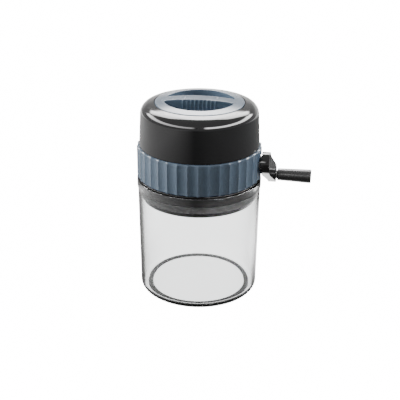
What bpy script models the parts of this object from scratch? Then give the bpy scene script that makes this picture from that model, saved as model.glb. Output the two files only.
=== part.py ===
"""Hand-cranked table grinder: a clear jar, a domed head with a toothed roller, a lift-off lid and a crank.

Units are metres and +Z is up. The origin is on the jar's axis, level with the underside of the foot ring.
+X runs along the crank's axle towards the crank, and -Y is the front.
"""

import math

import bmesh
import bpy

# ---- Driving dimensions ---------------------------------------------------------------------------

GAP = 0.0003                  # clearance between pieces that touch
MERGE = 0.00001               # points closer than this are one point

ROUND_STEPS = 48              # sides of the large turned pieces
SMALL_STEPS = 24              # sides of bushes, shank and knob
SPACER_STEPS = 16             # sides of the tubes between the discs
SCREW_STEPS = 12              # sides of screws

BODY_R = 0.0630               # grip ring over its ridges, and the jar's rim
JAR_H = 0.1232                # table to the jar's rim
JAR_RIM_PROUD = 0.0001        # jar rim beyond the grip ring
JAR_RIM_H = 0.0077            # height of the thicker rim
JAR_RIM_STEP = 0.0007         # wall below the rim, in from the grip ring
JAR_NECK_H = 0.0040           # sloped stretch from rim to wall
JAR_TAPER = 0.0015            # the wall narrows by this towards the floor
JAR_WALL = 0.0024             # thickness of wall
JAR_FLOOR = 0.0040            # thickness of floor
JAR_CORNER_R = 0.0060         # outer bottom corner
JAR_LIFT = 0.0008             # underside of the jar above the table

FOOT_INSET = 0.0008           # foot ring in from the flat underside's edge
FOOT_WIDTH = 0.0045
FOOT_H = 0.0027

RING_WALL = 0.0037            # grip ring's thickness at a ridge
RING_H = 0.0324
RING_EDGE = 0.0009            # chamfer of its two outer edges
FLUTES = 38
FLUTE_POINTS = 4              # points per flute
FLUTE_DEPTH = 0.0012
FLUTE_ROUNDNESS = 0.7         # below 1 makes the ridges narrower than the flutes
FLUTE_TURN = math.radians(-1.0)

DOME_INSET = 0.0025           # dome in from the grip ring
DOME_TAPER = 0.0019           # the dome narrows by this towards its shoulder
DOME_H = 0.0436               # grip ring's top to the rim of the feed mouth
DOME_TILT = math.radians(12.0)   # fall of the top from the mouth to the shoulder
DOME_SHOULDER_R = 0.0105      # rounding of the shoulder
DOME_WALL = 0.0025

LID_R = 0.0444
LID_EDGE_H = 0.0028           # height of the lid's edge
LID_PROUD = 0.0003            # lid's edge above the dome
LID_RISE = 0.0043             # crown of the lid above its edge
LID_PLUG_STEP = 0.0038        # plug in from the lid's edge
LID_PLUG_H = 0.0113           # lid's edge to the plug's underside
LID_RIM_W = 0.0058            # plug to the round finger recess
LID_WELL_DEPTH = 0.0090       # below the lid's edge
LID_BAR_W = 0.0140            # grip bar across the recess
LID_BAR_WALL = 0.0022
LID_BAR_HOLLOW_H = 0.00465    # hollow under the bar, up from the plug's underside
LID_WELL_STEPS = 20           # points round each finger well
LID_CROWN_STEPS = 6           # rings of the crown
LID_TURN = math.radians(3.0)

COLLAR_FLANGE_INSET = 0.0012  # flange in from the grip ring
COLLAR_FLANGE_H = 0.0012
COLLAR_PLUG_PLAY = 0.0007     # between the plug and the jar's wall
COLLAR_TIP_STEP = 0.0020      # plug's tip in from the plug
COLLAR_TIP_H = 0.0048
COLLAR_WALL = 0.0032
COLLAR_SPIGOT_WALL = 0.0047   # spigot that stands in the dome
SEAL_DROP = 0.0167            # jar rim to the seal's lower edge
SEAL_H = 0.0070
SEAL_DEPTH = 0.0014

SHAFT_SQUARE = 0.0070
CLIP_T = 0.0010
CLIP_R = 0.0065
CLIP_MOUTH = math.radians(70.0)
CLIP_STEPS = 16
CLIP_GROOVE_DEPTH = 0.0007

DISCS = 7
DISC_PITCH = 0.0120
DISC_T = 0.0030
DISC_R = 0.0210
DISC_ROOT_R = 0.0165
DISC_TEETH = 8
DISC_TOOTH = ((0.0, 1.0), (0.22, 0.72), (0.62, 0.0), (0.9, 0.0))   # (share of pitch, share of height)
DISC_STAGGER = 3              # each disc is turned by this part of a tooth from the last
SPACER_WALL = 0.0012

HOPPER_WALL = 0.0020
HOPPER_MOUTH_STEP = 0.0014    # hopper's bore beyond the feed mouth
HOPPER_DISC_PLAY = 0.0015     # hopper's throat beyond the discs
HOPPER_FUNNEL_H = 0.0208
HOPPER_FLANGE_W = 0.0055
HOPPER_FLANGE_T = 0.0030
HOPPER_SQUARENESS = 8         # exponent of the throat's rounded-rectangle outline
HOPPER_POINTS = 48            # points round the hopper

COMB_T = 0.0030
COMB_INNER_Y = 0.0080
COMB_SLOT_PLAY = 0.0020       # slot wider than the disc
COMB_SEAT = 0.0013            # comb's corners in from the edge of the collar's spigot
COMB_SCREW_R = 0.0016
COMB_SCREW_HEAD_R = 0.0030
COMB_SCREW_HEAD_H = 0.0020
COMB_SCREW_PLAY = 0.0017      # between a screw's head and the collar's bore

BUSH_WALL = 0.0014
BUSH_LEFT_WALL = 0.0028
BUSH_FLANGE_T = 0.0020
BUSH_FLANGE_W = 0.0018        # flange beyond the body
BUSH_PLAY = 0.0005            # under the bush's flange, above the collar
BUSH_RECESS = 0.0012          # right bush's end in from the grip ring

ARM_STANDOFF = 0.0007         # crank's hub beyond the grip ring
ARM_T = 0.0080
ARM_LENGTH = 0.0450           # axle to knob pin
ARM_ANGLE = math.radians(54.5)   # from straight down towards the back
ARM_LEAN = 0.0040             # outward set of the knob end
ARM_END_STEPS = 8             # stations round each end
ARM_FIRST = math.radians(12.0)   # from an end's tip to its first station
ARM_HUB_R = 0.0110
ARM_END_R = 0.0083
ARM_SHANK_WALL = 0.0011
ARM_SOCKET_DEPTH = 0.0085
ARM_CAP_R = 0.0070
ARM_CAP_T = 0.0014

CRANK_SCREW_R = 0.0017
CRANK_SCREW_HEAD_R = 0.0045
CRANK_SCREW_HEAD_H = 0.0023
CRANK_SCREW_LENGTH = 0.0120   # below its head

KNOB_STANDOFF = 0.0014        # knob beyond the arm's outer face
KNOB_LENGTH = 0.0350
KNOB_START_R = 0.0056
KNOB_END_R = 0.00725
KNOB_EDGE = 0.0007            # chamfer of the knob's ends
KNOB_CAP_T = 0.0014
KNOB_WALL = 0.0012            # rim round the end cap
PIN_R = 0.0023
PIN_HEAD_R = 0.0042
PIN_HEAD_T = 0.0013
WASHER_R = 0.0045
WASHER_T = 0.0008

# ---- Sizes that follow from them ------------------------------------------------------------------

# Jar
JAR_RIM_R = BODY_R + JAR_RIM_PROUD
JAR_NECK_R = BODY_R - JAR_RIM_STEP
JAR_NECK_Z = JAR_H - JAR_RIM_H - JAR_NECK_H
JAR_LOW_R = JAR_NECK_R - JAR_TAPER
FOOT_OUTER_R = JAR_LOW_R - JAR_CORNER_R - FOOT_INSET

# Collar, grip ring and dome, stacked on the jar's rim
COLLAR_FLANGE_LOW_Z = JAR_H + GAP
COLLAR_FLANGE_TOP_Z = COLLAR_FLANGE_LOW_Z + COLLAR_FLANGE_H
COLLAR_FLANGE_R = BODY_R - COLLAR_FLANGE_INSET
RING_LOW_Z = COLLAR_FLANGE_TOP_Z + GAP
RING_TOP_Z = RING_LOW_Z + RING_H
RING_INNER_R = BODY_R - RING_WALL
SKIRT_R = RING_INNER_R - GAP              # dome wall behind the grip ring
SKIRT_INNER_R = SKIRT_R - DOME_WALL
SPIGOT_R = SKIRT_INNER_R - GAP
COLLAR_BORE_R = SPIGOT_R - COLLAR_SPIGOT_WALL
DOME_LOW_R = BODY_R - DOME_INSET
DOME_HIGH_R = DOME_LOW_R - DOME_TAPER
DOME_TOP_Z = RING_TOP_Z + DOME_H
SEAL_LOW_Z = JAR_H - SEAL_DROP
SEAL_TOP_Z = SEAL_LOW_Z + SEAL_H
COLLAR_PLUG_LOW_Z = SEAL_LOW_Z - COLLAR_TIP_H

# Lid and feed mouth
LID_EDGE_Z = DOME_TOP_Z + LID_PROUD
LID_BOTTOM_Z = LID_EDGE_Z - LID_PLUG_H
LID_WELL_FLOOR_Z = LID_EDGE_Z - LID_WELL_DEPTH
LID_PLUG_R = LID_R - LID_PLUG_STEP
LID_WELL_R = LID_PLUG_R - LID_RIM_W
LID_SEAT_R = LID_R + GAP
MOUTH_R = LID_PLUG_R + 2 * GAP
MOUTH_SEAT_Z = LID_EDGE_Z - LID_EDGE_H - GAP
ROOF_UNDER_Z = MOUTH_SEAT_Z - DOME_WALL

# Shaft, crank and bearings
CRANK_Z = RING_LOW_Z + RING_H / 2
SOCKET_SQUARE = SHAFT_SQUARE + 2 * GAP
SHAFT_END_R = SHAFT_SQUARE / 2 - GAP / 3
CLIP_GROOVE_R = SHAFT_END_R - CLIP_GROOVE_DEPTH
SPACER_INNER_R = SHAFT_SQUARE / math.sqrt(2) + GAP
SPACER_R = SPACER_INNER_R + SPACER_WALL
ARM_SHANK_R = SOCKET_SQUARE / math.sqrt(2) + ARM_SHANK_WALL
BUSH_RIGHT_BORE_R = ARM_SHANK_R + GAP
BUSH_RIGHT_R = BUSH_RIGHT_BORE_R + BUSH_WALL
BUSH_LEFT_BORE_R = SHAFT_END_R + GAP
BUSH_LEFT_R = BUSH_LEFT_BORE_R + BUSH_LEFT_WALL
BUSH_RIGHT_END_X = BODY_R - BUSH_RECESS
BUSH_LEFT_END_X = -SKIRT_R + GAP
ARM_SHANK_X = SKIRT_INNER_R + 2 * GAP
SHAFT_RIGHT_X = ARM_SHANK_X + ARM_SOCKET_DEPTH - 2 * GAP
SHAFT_LEFT_X = -SKIRT_INNER_R - DOME_WALL / 2
CLIP_X = -SKIRT_INNER_R + 2 * BUSH_FLANGE_T + CLIP_T / 2
SHAFT_SQUARE_LEFT_X = CLIP_X + 2 * CLIP_T
ARM_INNER_X = BODY_R + ARM_STANDOFF
ARM_OUTER_X = ARM_INNER_X + ARM_T
KNOB_START_X = ARM_OUTER_X + ARM_LEAN + KNOB_STANDOFF
KNOB_END_X = KNOB_START_X + KNOB_LENGTH

# Combs and hopper, stacked on the collar's spigot
COLLAR_SPIGOT_TOP_Z = CRANK_Z - BUSH_RIGHT_R - BUSH_FLANGE_W - BUSH_PLAY
COMB_LOW_Z = COLLAR_SPIGOT_TOP_Z + GAP
COMB_TOP_Z = COMB_LOW_Z + COMB_T
HOPPER_LOW_Z = COMB_TOP_Z + GAP
HOPPER_HALF_Y = DISC_R + HOPPER_DISC_PLAY
HOPPER_FLANGE_Y = HOPPER_HALF_Y + HOPPER_WALL + HOPPER_FLANGE_W
COMB_HALF_X = math.sqrt((SPIGOT_R - COMB_SEAT) ** 2 - HOPPER_FLANGE_Y ** 2)
COMB_SCREW_Y = HOPPER_HALF_Y + HOPPER_WALL + HOPPER_FLANGE_W / 2
COMB_SCREW_REACH = COLLAR_BORE_R - COMB_SCREW_HEAD_R - COMB_SCREW_PLAY
COMB_SCREW_X = math.sqrt(COMB_SCREW_REACH ** 2 - COMB_SCREW_Y ** 2)
HOPPER_HALF_X = COMB_HALF_X - HOPPER_WALL
HOPPER_FLANGE_X = COMB_HALF_X + HOPPER_FLANGE_T
HOPPER_TOP_R = MOUTH_R + HOPPER_MOUTH_STEP
HOPPER_FUNNEL_LOW_Z = CRANK_Z + DISC_R
HOPPER_FUNNEL_TOP_Z = HOPPER_FUNNEL_LOW_Z + HOPPER_FUNNEL_H

# ---- Materials ------------------------------------------------------------------------------------

FINISHES = {
    "clear_plastic": ((0.93, 0.95, 0.95), 0.05, 0.0),
    "gloss_black": ((0.012, 0.012, 0.013), 0.12, 0.0),
    "satin_slate": ((0.115, 0.165, 0.225), 0.38, 0.0),
    "soft_black": ((0.02, 0.02, 0.021), 0.55, 0.0),
    "grey_silicone": ((0.22, 0.22, 0.225), 0.35, 0.0),
    "stainless_steel": ((0.62, 0.61, 0.59), 0.28, 1.0),
    "natural_nylon": ((0.72, 0.71, 0.67), 0.45, 0.0),
    "dark_plastic": ((0.05, 0.05, 0.053), 0.4, 0.0),
}


def material(name):
    """The Principled material of one finish, made on first use."""
    found = bpy.data.materials.get(name)
    if found:
        return found
    colour, roughness, metallic = FINISHES[name]
    made = bpy.data.materials.new(name)
    made.use_nodes = True
    shader = made.node_tree.nodes["Principled BSDF"]
    shader.inputs["Base Color"].default_value = (*colour, 1.0)
    shader.inputs["Roughness"].default_value = roughness
    shader.inputs["Metallic"].default_value = metallic
    made.diffuse_color = (*colour, 1.0)
    return made


# ---- Modelling helpers ----------------------------------------------------------------------------


def clear_scene():
    """Remove every object that the scene starts with."""
    for obj in list(bpy.data.objects):
        bpy.data.objects.remove(obj, do_unlink=True)


def add_object(name, bm, finish=None, parent=None, location=(0, 0, 0), rotation=(0, 0, 0)):
    """Turn a bmesh into a named object with its finish, placed under its parent."""
    bmesh.ops.remove_doubles(bm, verts=bm.verts, dist=MERGE)
    bmesh.ops.recalc_face_normals(bm, faces=bm.faces)
    mesh = bpy.data.meshes.new(name)
    bm.to_mesh(mesh)
    bm.free()
    mesh.shade_smooth()
    mesh.set_sharp_from_angle(angle=math.radians(30))
    obj = bpy.data.objects.new(name, mesh)
    bpy.context.scene.collection.objects.link(obj)
    obj.location = location
    obj.rotation_euler = rotation
    obj.parent = parent
    if finish:
        mesh.materials.append(material(finish))
    return obj


def add_empty(name, location):
    """An empty on a joint's axis, which carries the pieces that turn or lift together."""
    empty = bpy.data.objects.new(name, None)
    bpy.context.scene.collection.objects.link(empty)
    empty.location = location
    return empty


def arc(centre, radius, start_deg, end_deg, steps):
    """Profile points (r, z) on an arc, both ends included."""
    points = []
    for i in range(steps + 1):
        angle = math.radians(start_deg + (end_deg - start_deg) * i / steps)
        points.append((centre[0] + radius * math.cos(angle), centre[1] + radius * math.sin(angle)))
    return points


def spun(profile, steps, closed):
    """A solid turned about local Z from (r, z) points; an open profile starts and ends on the axis."""
    bm = bmesh.new()
    verts = [bm.verts.new((r, 0.0, z)) for r, z in profile]
    pairs = list(zip(verts, verts[1:]))
    if closed:
        pairs.append((verts[-1], verts[0]))
    edges = [bm.edges.new(pair) for pair in pairs]
    bmesh.ops.spin(
        bm, geom=verts + edges, axis=(0, 0, 1), cent=(0, 0, 0),
        angle=math.tau, steps=steps, use_merge=True,
    )
    return bm


def tube(inner_r, outer_r, low, high, steps):
    """A plain turned tube along local Z."""
    return spun([(inner_r, low), (outer_r, low), (outer_r, high), (inner_r, high)], steps, closed=True)


def prism(outline, low, high):
    """An outline of (x, y) points extruded along local Z."""
    bm = bmesh.new()
    base = [bm.verts.new((x, y, low)) for x, y in outline]
    face = bm.faces.new(base)
    lifted = bmesh.ops.extrude_face_region(bm, geom=[face])["geom"]
    moved = [item for item in lifted if isinstance(item, bmesh.types.BMVert)]
    bmesh.ops.translate(bm, verts=moved, vec=(0, 0, high - low))
    return bm


def square(side):
    """Outline of a square bar or socket, centred on its axis."""
    half = side / 2
    return [(-half, -half), (half, -half), (half, half), (-half, half)]


def box(size, centre):
    """A rectangular block."""
    bm = bmesh.new()
    bmesh.ops.create_cube(bm, size=1.0)
    bmesh.ops.scale(bm, vec=size, verts=bm.verts)
    bmesh.ops.translate(bm, vec=centre, verts=bm.verts)
    return bm


def rod(radius, low, high, steps):
    """A solid round bar along local Z."""
    return spun([(0, low), (radius, low), (radius, high), (0, high)], steps, closed=False)


def shell_of_loops(loops):
    """A closed skin through rings of equal point counts, the last ring joined to the first."""
    bm = bmesh.new()
    rings = [[bm.verts.new(point) for point in loop] for loop in loops]
    for ring, following in zip(rings, rings[1:] + rings[:1]):
        for i, vert in enumerate(ring):
            j = (i + 1) % len(ring)
            bm.faces.new((vert, ring[j], following[j], following[i]))
    return bm


def cut(obj, cutters):
    """Subtract each cutter mesh from the object with an exact Boolean."""
    for number, bm in enumerate(cutters, 1):
        cutter = add_object(f"{obj.name}_cutter_{number}", bm, parent=obj)
        cutter.hide_render = True
        cutter.display_type = "WIRE"
        modifier = obj.modifiers.new(f"cut_{number}", "BOOLEAN")
        modifier.operation = "DIFFERENCE"
        modifier.solver = "EXACT"
        modifier.object = cutter


def along_x(bm):
    """Turn a mesh made along local Z so that it lies along +X."""
    corners = [vert.co.copy() for vert in bm.verts]
    for vert, old in zip(bm.verts, corners):
        vert.co = (old.z, old.y, -old.x)
    return bm


def moved(bm, offset):
    """Shift a mesh before it becomes an object or a cutter."""
    bmesh.ops.translate(bm, vec=offset, verts=bm.verts)
    return bm


# ---- Jar ------------------------------------------------------------------------------------------


def jar_wall_r(z):
    """Outer radius of the tapered jar wall at height z."""
    return JAR_LOW_R + JAR_TAPER * (z - JAR_CORNER_R) / (JAR_NECK_Z - JAR_CORNER_R)


def make_jar():
    """Clear container with a thick rim, a tapered wall and a groove for the foot ring."""
    inner_corner = JAR_CORNER_R - JAR_WALL
    floor_z = JAR_LIFT + JAR_FLOOR
    corner_z = JAR_LIFT + JAR_CORNER_R
    inner_low_r = jar_wall_r(floor_z + inner_corner) - JAR_WALL
    groove_outer = FOOT_OUTER_R + GAP
    groove_inner = FOOT_OUTER_R - FOOT_WIDTH - GAP
    groove_top = FOOT_H + GAP
    profile = [(0, floor_z)]
    profile += arc((inner_low_r - inner_corner, floor_z + inner_corner), inner_corner, -90, 0, 3)
    profile += [
        (jar_wall_r(JAR_H) - JAR_WALL, JAR_H),
        (JAR_RIM_R, JAR_H),
        (JAR_RIM_R, JAR_H - JAR_RIM_H),
        (JAR_NECK_R, JAR_NECK_Z),
    ]
    profile += arc((jar_wall_r(corner_z) - JAR_CORNER_R, corner_z), JAR_CORNER_R, 0, -90, 5)
    profile += [
        (groove_outer, JAR_LIFT),
        (groove_outer, groove_top),
        (groove_inner, groove_top),
        (groove_inner, JAR_LIFT),
        (0, JAR_LIFT),
    ]
    add_object("container", spun(profile, ROUND_STEPS, closed=False), "clear_plastic")


def make_foot_ring():
    """Non-slip ring set in the jar's underside."""
    ring = tube(FOOT_OUTER_R - FOOT_WIDTH, FOOT_OUTER_R, 0, FOOT_H, ROUND_STEPS)
    add_object("foot_ring", ring, "soft_black")


# ---- Head: dome, grip ring, collar ----------------------------------------------------------------


def make_housing():
    """Domed casing with the feed mouth, stepped in behind the grip ring."""
    step_z = RING_TOP_Z + GAP
    shoulder_r = DOME_HIGH_R - DOME_SHOULDER_R
    drop = (DOME_SHOULDER_R + (shoulder_r - LID_SEAT_R) * math.sin(DOME_TILT)) / math.cos(DOME_TILT)
    outer_centre = (shoulder_r, DOME_TOP_Z - drop)
    inner_shoulder = DOME_SHOULDER_R - DOME_WALL
    inner_centre = (outer_centre[0], ROOF_UNDER_Z - inner_shoulder)
    profile = [(SKIRT_INNER_R, RING_LOW_Z), (SKIRT_R, RING_LOW_Z), (SKIRT_R, step_z), (DOME_LOW_R, step_z)]
    profile += arc(outer_centre, DOME_SHOULDER_R, 0, 90 - math.degrees(DOME_TILT), 6)
    profile += [
        (LID_SEAT_R, DOME_TOP_Z),
        (LID_SEAT_R, MOUTH_SEAT_Z),
        (MOUTH_R, MOUTH_SEAT_Z),
        (MOUTH_R, ROOF_UNDER_Z),
    ]
    profile += arc(inner_centre, inner_shoulder, 90, 0, 3)
    profile += [
        (DOME_LOW_R - DOME_WALL, step_z + DOME_WALL),
        (SKIRT_INNER_R, step_z),
    ]
    housing = add_object("housing", spun(profile, ROUND_STEPS, closed=True), "gloss_black")
    reach = DOME_LOW_R + DOME_WALL
    right = along_x(rod(BUSH_RIGHT_R + GAP, COLLAR_BORE_R, reach, SMALL_STEPS))
    left = along_x(rod(BUSH_LEFT_R + GAP, -reach, -COLLAR_BORE_R, SMALL_STEPS))
    cut(housing, [moved(right, (0, 0, CRANK_Z)), moved(left, (0, 0, CRANK_Z))])


def flute_point(i, outer_r, depth, z):
    """One of the points round the grip ring, set in by its share of a flute's depth."""
    share = (i % FLUTE_POINTS) / FLUTE_POINTS
    radius = outer_r - depth * math.sin(math.pi * share) ** FLUTE_ROUNDNESS
    angle = math.tau * i / (FLUTES * FLUTE_POINTS) - math.pi / 2 + FLUTE_TURN
    return radius * math.cos(angle), radius * math.sin(angle), z


def ring_loop(outer_r, z, depth=FLUTE_DEPTH):
    """Points round the grip ring at one height; a depth of 0 gives its plain bore."""
    return [flute_point(i, outer_r, depth, z) for i in range(FLUTES * FLUTE_POINTS)]


def make_grip_ring():
    """Fluted ring round the head, with the hole that the crank's bush passes through."""
    loops = [
        ring_loop(RING_INNER_R, RING_LOW_Z, depth=0),
        ring_loop(BODY_R - RING_EDGE, RING_LOW_Z),
        ring_loop(BODY_R, RING_LOW_Z + RING_EDGE),
        ring_loop(BODY_R, RING_TOP_Z - RING_EDGE),
        ring_loop(BODY_R - RING_EDGE, RING_TOP_Z),
        ring_loop(RING_INNER_R, RING_TOP_Z, depth=0),
    ]
    ring = add_object("grip_ring", shell_of_loops(loops), "satin_slate")
    hole = along_x(rod(BUSH_RIGHT_R + GAP, COLLAR_BORE_R, BODY_R + RING_WALL, SMALL_STEPS))
    cut(ring, [moved(hole, (0, 0, CRANK_Z))])


def plug_r():
    """Outer radius of the collar's plug, a little inside the jar's wall at the seal."""
    return jar_wall_r(SEAL_LOW_Z) - JAR_WALL - COLLAR_PLUG_PLAY


def make_collar():
    """Plug that closes the head from below and stands in the jar's mouth."""
    outer_r = plug_r()
    groove_r = outer_r - SEAL_DEPTH
    profile = [
        (COLLAR_BORE_R, COLLAR_SPIGOT_TOP_Z),
        (SPIGOT_R, COLLAR_SPIGOT_TOP_Z),
        (SPIGOT_R, COLLAR_FLANGE_TOP_Z),
        (COLLAR_FLANGE_R, COLLAR_FLANGE_TOP_Z),
        (COLLAR_FLANGE_R, COLLAR_FLANGE_LOW_Z),
        (outer_r, COLLAR_FLANGE_LOW_Z),
        (outer_r, SEAL_TOP_Z + GAP),
        (groove_r, SEAL_TOP_Z + GAP),
        (groove_r, SEAL_LOW_Z - GAP),
        (outer_r - GAP, SEAL_LOW_Z - GAP),
        (outer_r - COLLAR_TIP_STEP, COLLAR_PLUG_LOW_Z),
        (outer_r - COLLAR_TIP_STEP - COLLAR_WALL / 2, COLLAR_PLUG_LOW_Z),
        (groove_r - COLLAR_WALL, SEAL_LOW_Z),
        (groove_r - COLLAR_WALL, SEAL_TOP_Z + COLLAR_WALL),
        (COLLAR_BORE_R, COLLAR_FLANGE_TOP_Z),
    ]
    add_object("collar", spun(profile, ROUND_STEPS, closed=True), "gloss_black")


def make_collar_seal():
    """Wide silicone seal in the collar's groove."""
    inner = plug_r() - SEAL_DEPTH + GAP
    outer = jar_wall_r(SEAL_LOW_Z) - JAR_WALL - GAP
    add_object("collar_seal", tube(inner, outer, SEAL_LOW_Z, SEAL_TOP_Z, ROUND_STEPS), "grey_silicone")


# ---- Lid ------------------------------------------------------------------------------------------


def lid_top_z(radius):
    """Height of the lid's crowned top at a radius."""
    return LID_EDGE_Z + LID_RISE * (1 - (radius / LID_R) ** 2)


def make_lid(carrier):
    """Crowned round lid with two finger wells beside a grip bar, and a plug that enters the mouth."""
    seat_z = LID_EDGE_Z - LID_EDGE_H
    groove_low, groove_high = seal_groove()
    profile = [(0, LID_BOTTOM_Z), (LID_PLUG_R, LID_BOTTOM_Z)]
    profile += [
        (LID_PLUG_R, groove_low),
        (LID_PLUG_R - SEAL_DEPTH, groove_low),
        (LID_PLUG_R - SEAL_DEPTH, groove_high),
        (LID_PLUG_R, groove_high),
        (LID_PLUG_R, seat_z),
        (LID_R, seat_z),
    ]
    crown = [LID_R * (1 - i / LID_CROWN_STEPS) for i in range(LID_CROWN_STEPS + 1)]
    profile += [(radius, lid_top_z(radius)) for radius in crown]
    lid = add_object("lid", spun(profile, ROUND_STEPS, closed=False), "satin_slate", carrier)
    lid.location = (0, 0, -carrier.location.z)
    lid.rotation_euler = (0, 0, LID_TURN)
    core_length = 2 * (LID_WELL_R - LID_BAR_WALL)
    core_width = LID_BAR_W - 2 * LID_BAR_WALL
    core = box((core_length, core_width, 2 * LID_BAR_HOLLOW_H), (0, 0, LID_BOTTOM_Z))
    cut(lid, [finger_well(1), finger_well(-1), core])


def finger_well(side):
    """Cutter of one well: the round recess's part beyond the grip bar."""
    bar = LID_BAR_W / 2
    tip = math.asin(bar / LID_WELL_R)
    outline = []
    for i in range(LID_WELL_STEPS + 1):
        angle = tip + (math.pi - 2 * tip) * i / LID_WELL_STEPS
        outline.append((LID_WELL_R * math.cos(angle), side * LID_WELL_R * math.sin(angle)))
    return prism(outline, LID_WELL_FLOOR_Z, LID_EDGE_Z + 2 * LID_RISE)


def seal_groove():
    """Lowest and highest z of the groove in the lid's plug, inside the mouth."""
    middle = (MOUTH_SEAT_Z + ROOF_UNDER_Z) / 2
    return middle - SEAL_DEPTH / 2 - GAP, middle + SEAL_DEPTH / 2 + GAP


def make_lid_seal(carrier):
    """Thin seal ring in the lid's groove."""
    low, high = seal_groove()
    ring = tube(LID_PLUG_R - SEAL_DEPTH + GAP, LID_PLUG_R + GAP, low + GAP, high - GAP, ROUND_STEPS)
    add_object("lid_seal", ring, "soft_black", carrier, (0, 0, -carrier.location.z))


# ---- Hopper and combs -----------------------------------------------------------------------------


def throat_radius(angle, half_x, half_y):
    """Distance from the axis to a rounded rectangle's outline in one direction."""
    across = abs(math.cos(angle) / half_x) ** HOPPER_SQUARENESS
    along = abs(math.sin(angle) / half_y) ** HOPPER_SQUARENESS
    return (across + along) ** (-1 / HOPPER_SQUARENESS)


def hopper_loop(z, half_x, half_y, round_r, roundness):
    """Points of the hopper's outline at one height, between a rounded rectangle and a circle."""
    points = []
    for i in range(HOPPER_POINTS):
        angle = math.tau * (i + 0.5) / HOPPER_POINTS
        radius = throat_radius(angle, half_x, half_y) * (1 - roundness) + round_r * roundness
        points.append((radius * math.cos(angle), radius * math.sin(angle), z))
    return points


def make_hopper():
    """Funnel from the round mouth to the throat round the roller, with a flange for the combs."""
    top_z = ROOF_UNDER_Z - GAP
    flange_z = HOPPER_LOW_Z + HOPPER_FLANGE_T
    inner = (HOPPER_HALF_X, HOPPER_HALF_Y, HOPPER_TOP_R)
    outer = (HOPPER_HALF_X + HOPPER_WALL, HOPPER_HALF_Y + HOPPER_WALL, HOPPER_TOP_R + HOPPER_WALL)
    flange = (HOPPER_FLANGE_X, HOPPER_FLANGE_Y, HOPPER_TOP_R)
    loops = [
        hopper_loop(HOPPER_LOW_Z, *inner, 0),
        hopper_loop(HOPPER_LOW_Z, *flange, 0),
        hopper_loop(flange_z, *flange, 0),
        hopper_loop(flange_z, *outer, 0),
        hopper_loop(HOPPER_FUNNEL_LOW_Z, *outer, 0),
        hopper_loop(HOPPER_FUNNEL_TOP_Z, *outer, 1),
        hopper_loop(top_z, *outer, 1),
        hopper_loop(top_z, *inner, 1),
        hopper_loop(HOPPER_FUNNEL_TOP_Z, *inner, 1),
        hopper_loop(HOPPER_FUNNEL_LOW_Z, *inner, 0),
    ]
    hopper = add_object("hopper", shell_of_loops(loops), "dark_plastic")
    reach = HOPPER_FLANGE_X + HOPPER_WALL
    passage = along_x(rod(SPACER_R + 2 * GAP, -reach, reach, SMALL_STEPS))
    holes = [
        moved(rod(COMB_SCREW_R + GAP, HOPPER_LOW_Z - GAP, flange_z + GAP, SCREW_STEPS), (x, y, 0))
        for x, y in comb_screw_places()
    ]
    cut(hopper, [moved(passage, (0, 0, CRANK_Z))] + holes)


def comb_screw_places():
    """(x, y) of the four screws that hold the combs."""
    return [(x, y) for y in (-COMB_SCREW_Y, COMB_SCREW_Y) for x in (-COMB_SCREW_X, COMB_SCREW_X)]


def disc_places():
    """x of each toothed disc's middle."""
    return [(i - (DISCS - 1) / 2) * DISC_PITCH for i in range(DISCS)]


def make_comb(name, side):
    """Fixed plate whose fingers stand between the turning discs."""
    slot_end = DISC_R + 2 * GAP
    slot_half = (DISC_T + COMB_SLOT_PLAY) / 2
    outline = [(-COMB_HALF_X, HOPPER_FLANGE_Y), (-COMB_HALF_X, COMB_INNER_Y)]
    for x in disc_places():
        outline += [
            (x - slot_half, COMB_INNER_Y),
            (x - slot_half, slot_end),
            (x + slot_half, slot_end),
            (x + slot_half, COMB_INNER_Y),
        ]
    outline += [(COMB_HALF_X, COMB_INNER_Y), (COMB_HALF_X, HOPPER_FLANGE_Y)]
    plate = prism([(x, side * y) for x, y in outline], COMB_LOW_Z, COMB_TOP_Z)
    comb = add_object(name, plate, "stainless_steel")
    holes = [
        moved(rod(COMB_SCREW_R + GAP, COMB_LOW_Z - GAP, COMB_TOP_Z + GAP, SCREW_STEPS), (x, y, 0))
        for x, y in comb_screw_places() if y * side > 0
    ]
    cut(comb, holes)


def make_comb_screws():
    """Four screws from below, through the combs into the hopper's flange."""
    head_top = COMB_LOW_Z - GAP
    head_low = head_top - COMB_SCREW_HEAD_H
    profile = [
        (0, head_low),
        (COMB_SCREW_HEAD_R, head_low),
        (COMB_SCREW_HEAD_R, head_top),
        (COMB_SCREW_R, head_top),
        (COMB_SCREW_R, HOPPER_LOW_Z + HOPPER_FLANGE_T),
        (0, HOPPER_LOW_Z + HOPPER_FLANGE_T),
    ]
    for number, (x, y) in enumerate(comb_screw_places(), 1):
        screw = spun(profile, SCREW_STEPS, closed=False)
        add_object(f"comb_screw_{number}", screw, "stainless_steel", None, (x, y, 0))


# ---- Roller ---------------------------------------------------------------------------------------


def make_shaft(carrier):
    """Square bar with a turned left end, a clip groove and a threaded hole in its right end."""
    bar = along_x(prism(square(SHAFT_SQUARE), SHAFT_LEFT_X, SHAFT_RIGHT_X))
    shaft = add_object("roller_shaft", bar, "stainless_steel", carrier)
    end_low, end_high = SHAFT_LEFT_X - GAP, SHAFT_SQUARE_LEFT_X
    turned_end = along_x(tube(SHAFT_END_R, SHAFT_SQUARE, end_low, end_high, SMALL_STEPS))
    groove_low, groove_high = CLIP_X - CLIP_T / 2 - GAP, CLIP_X + CLIP_T / 2 + GAP
    groove = along_x(tube(CLIP_GROOVE_R, SHAFT_SQUARE, groove_low, groove_high, SMALL_STEPS))
    thread_x = ARM_INNER_X - CRANK_SCREW_LENGTH
    thread = along_x(rod(CRANK_SCREW_R + GAP, thread_x, SHAFT_RIGHT_X + GAP, SCREW_STEPS))
    cut(shaft, [turned_end, groove, thread])


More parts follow.
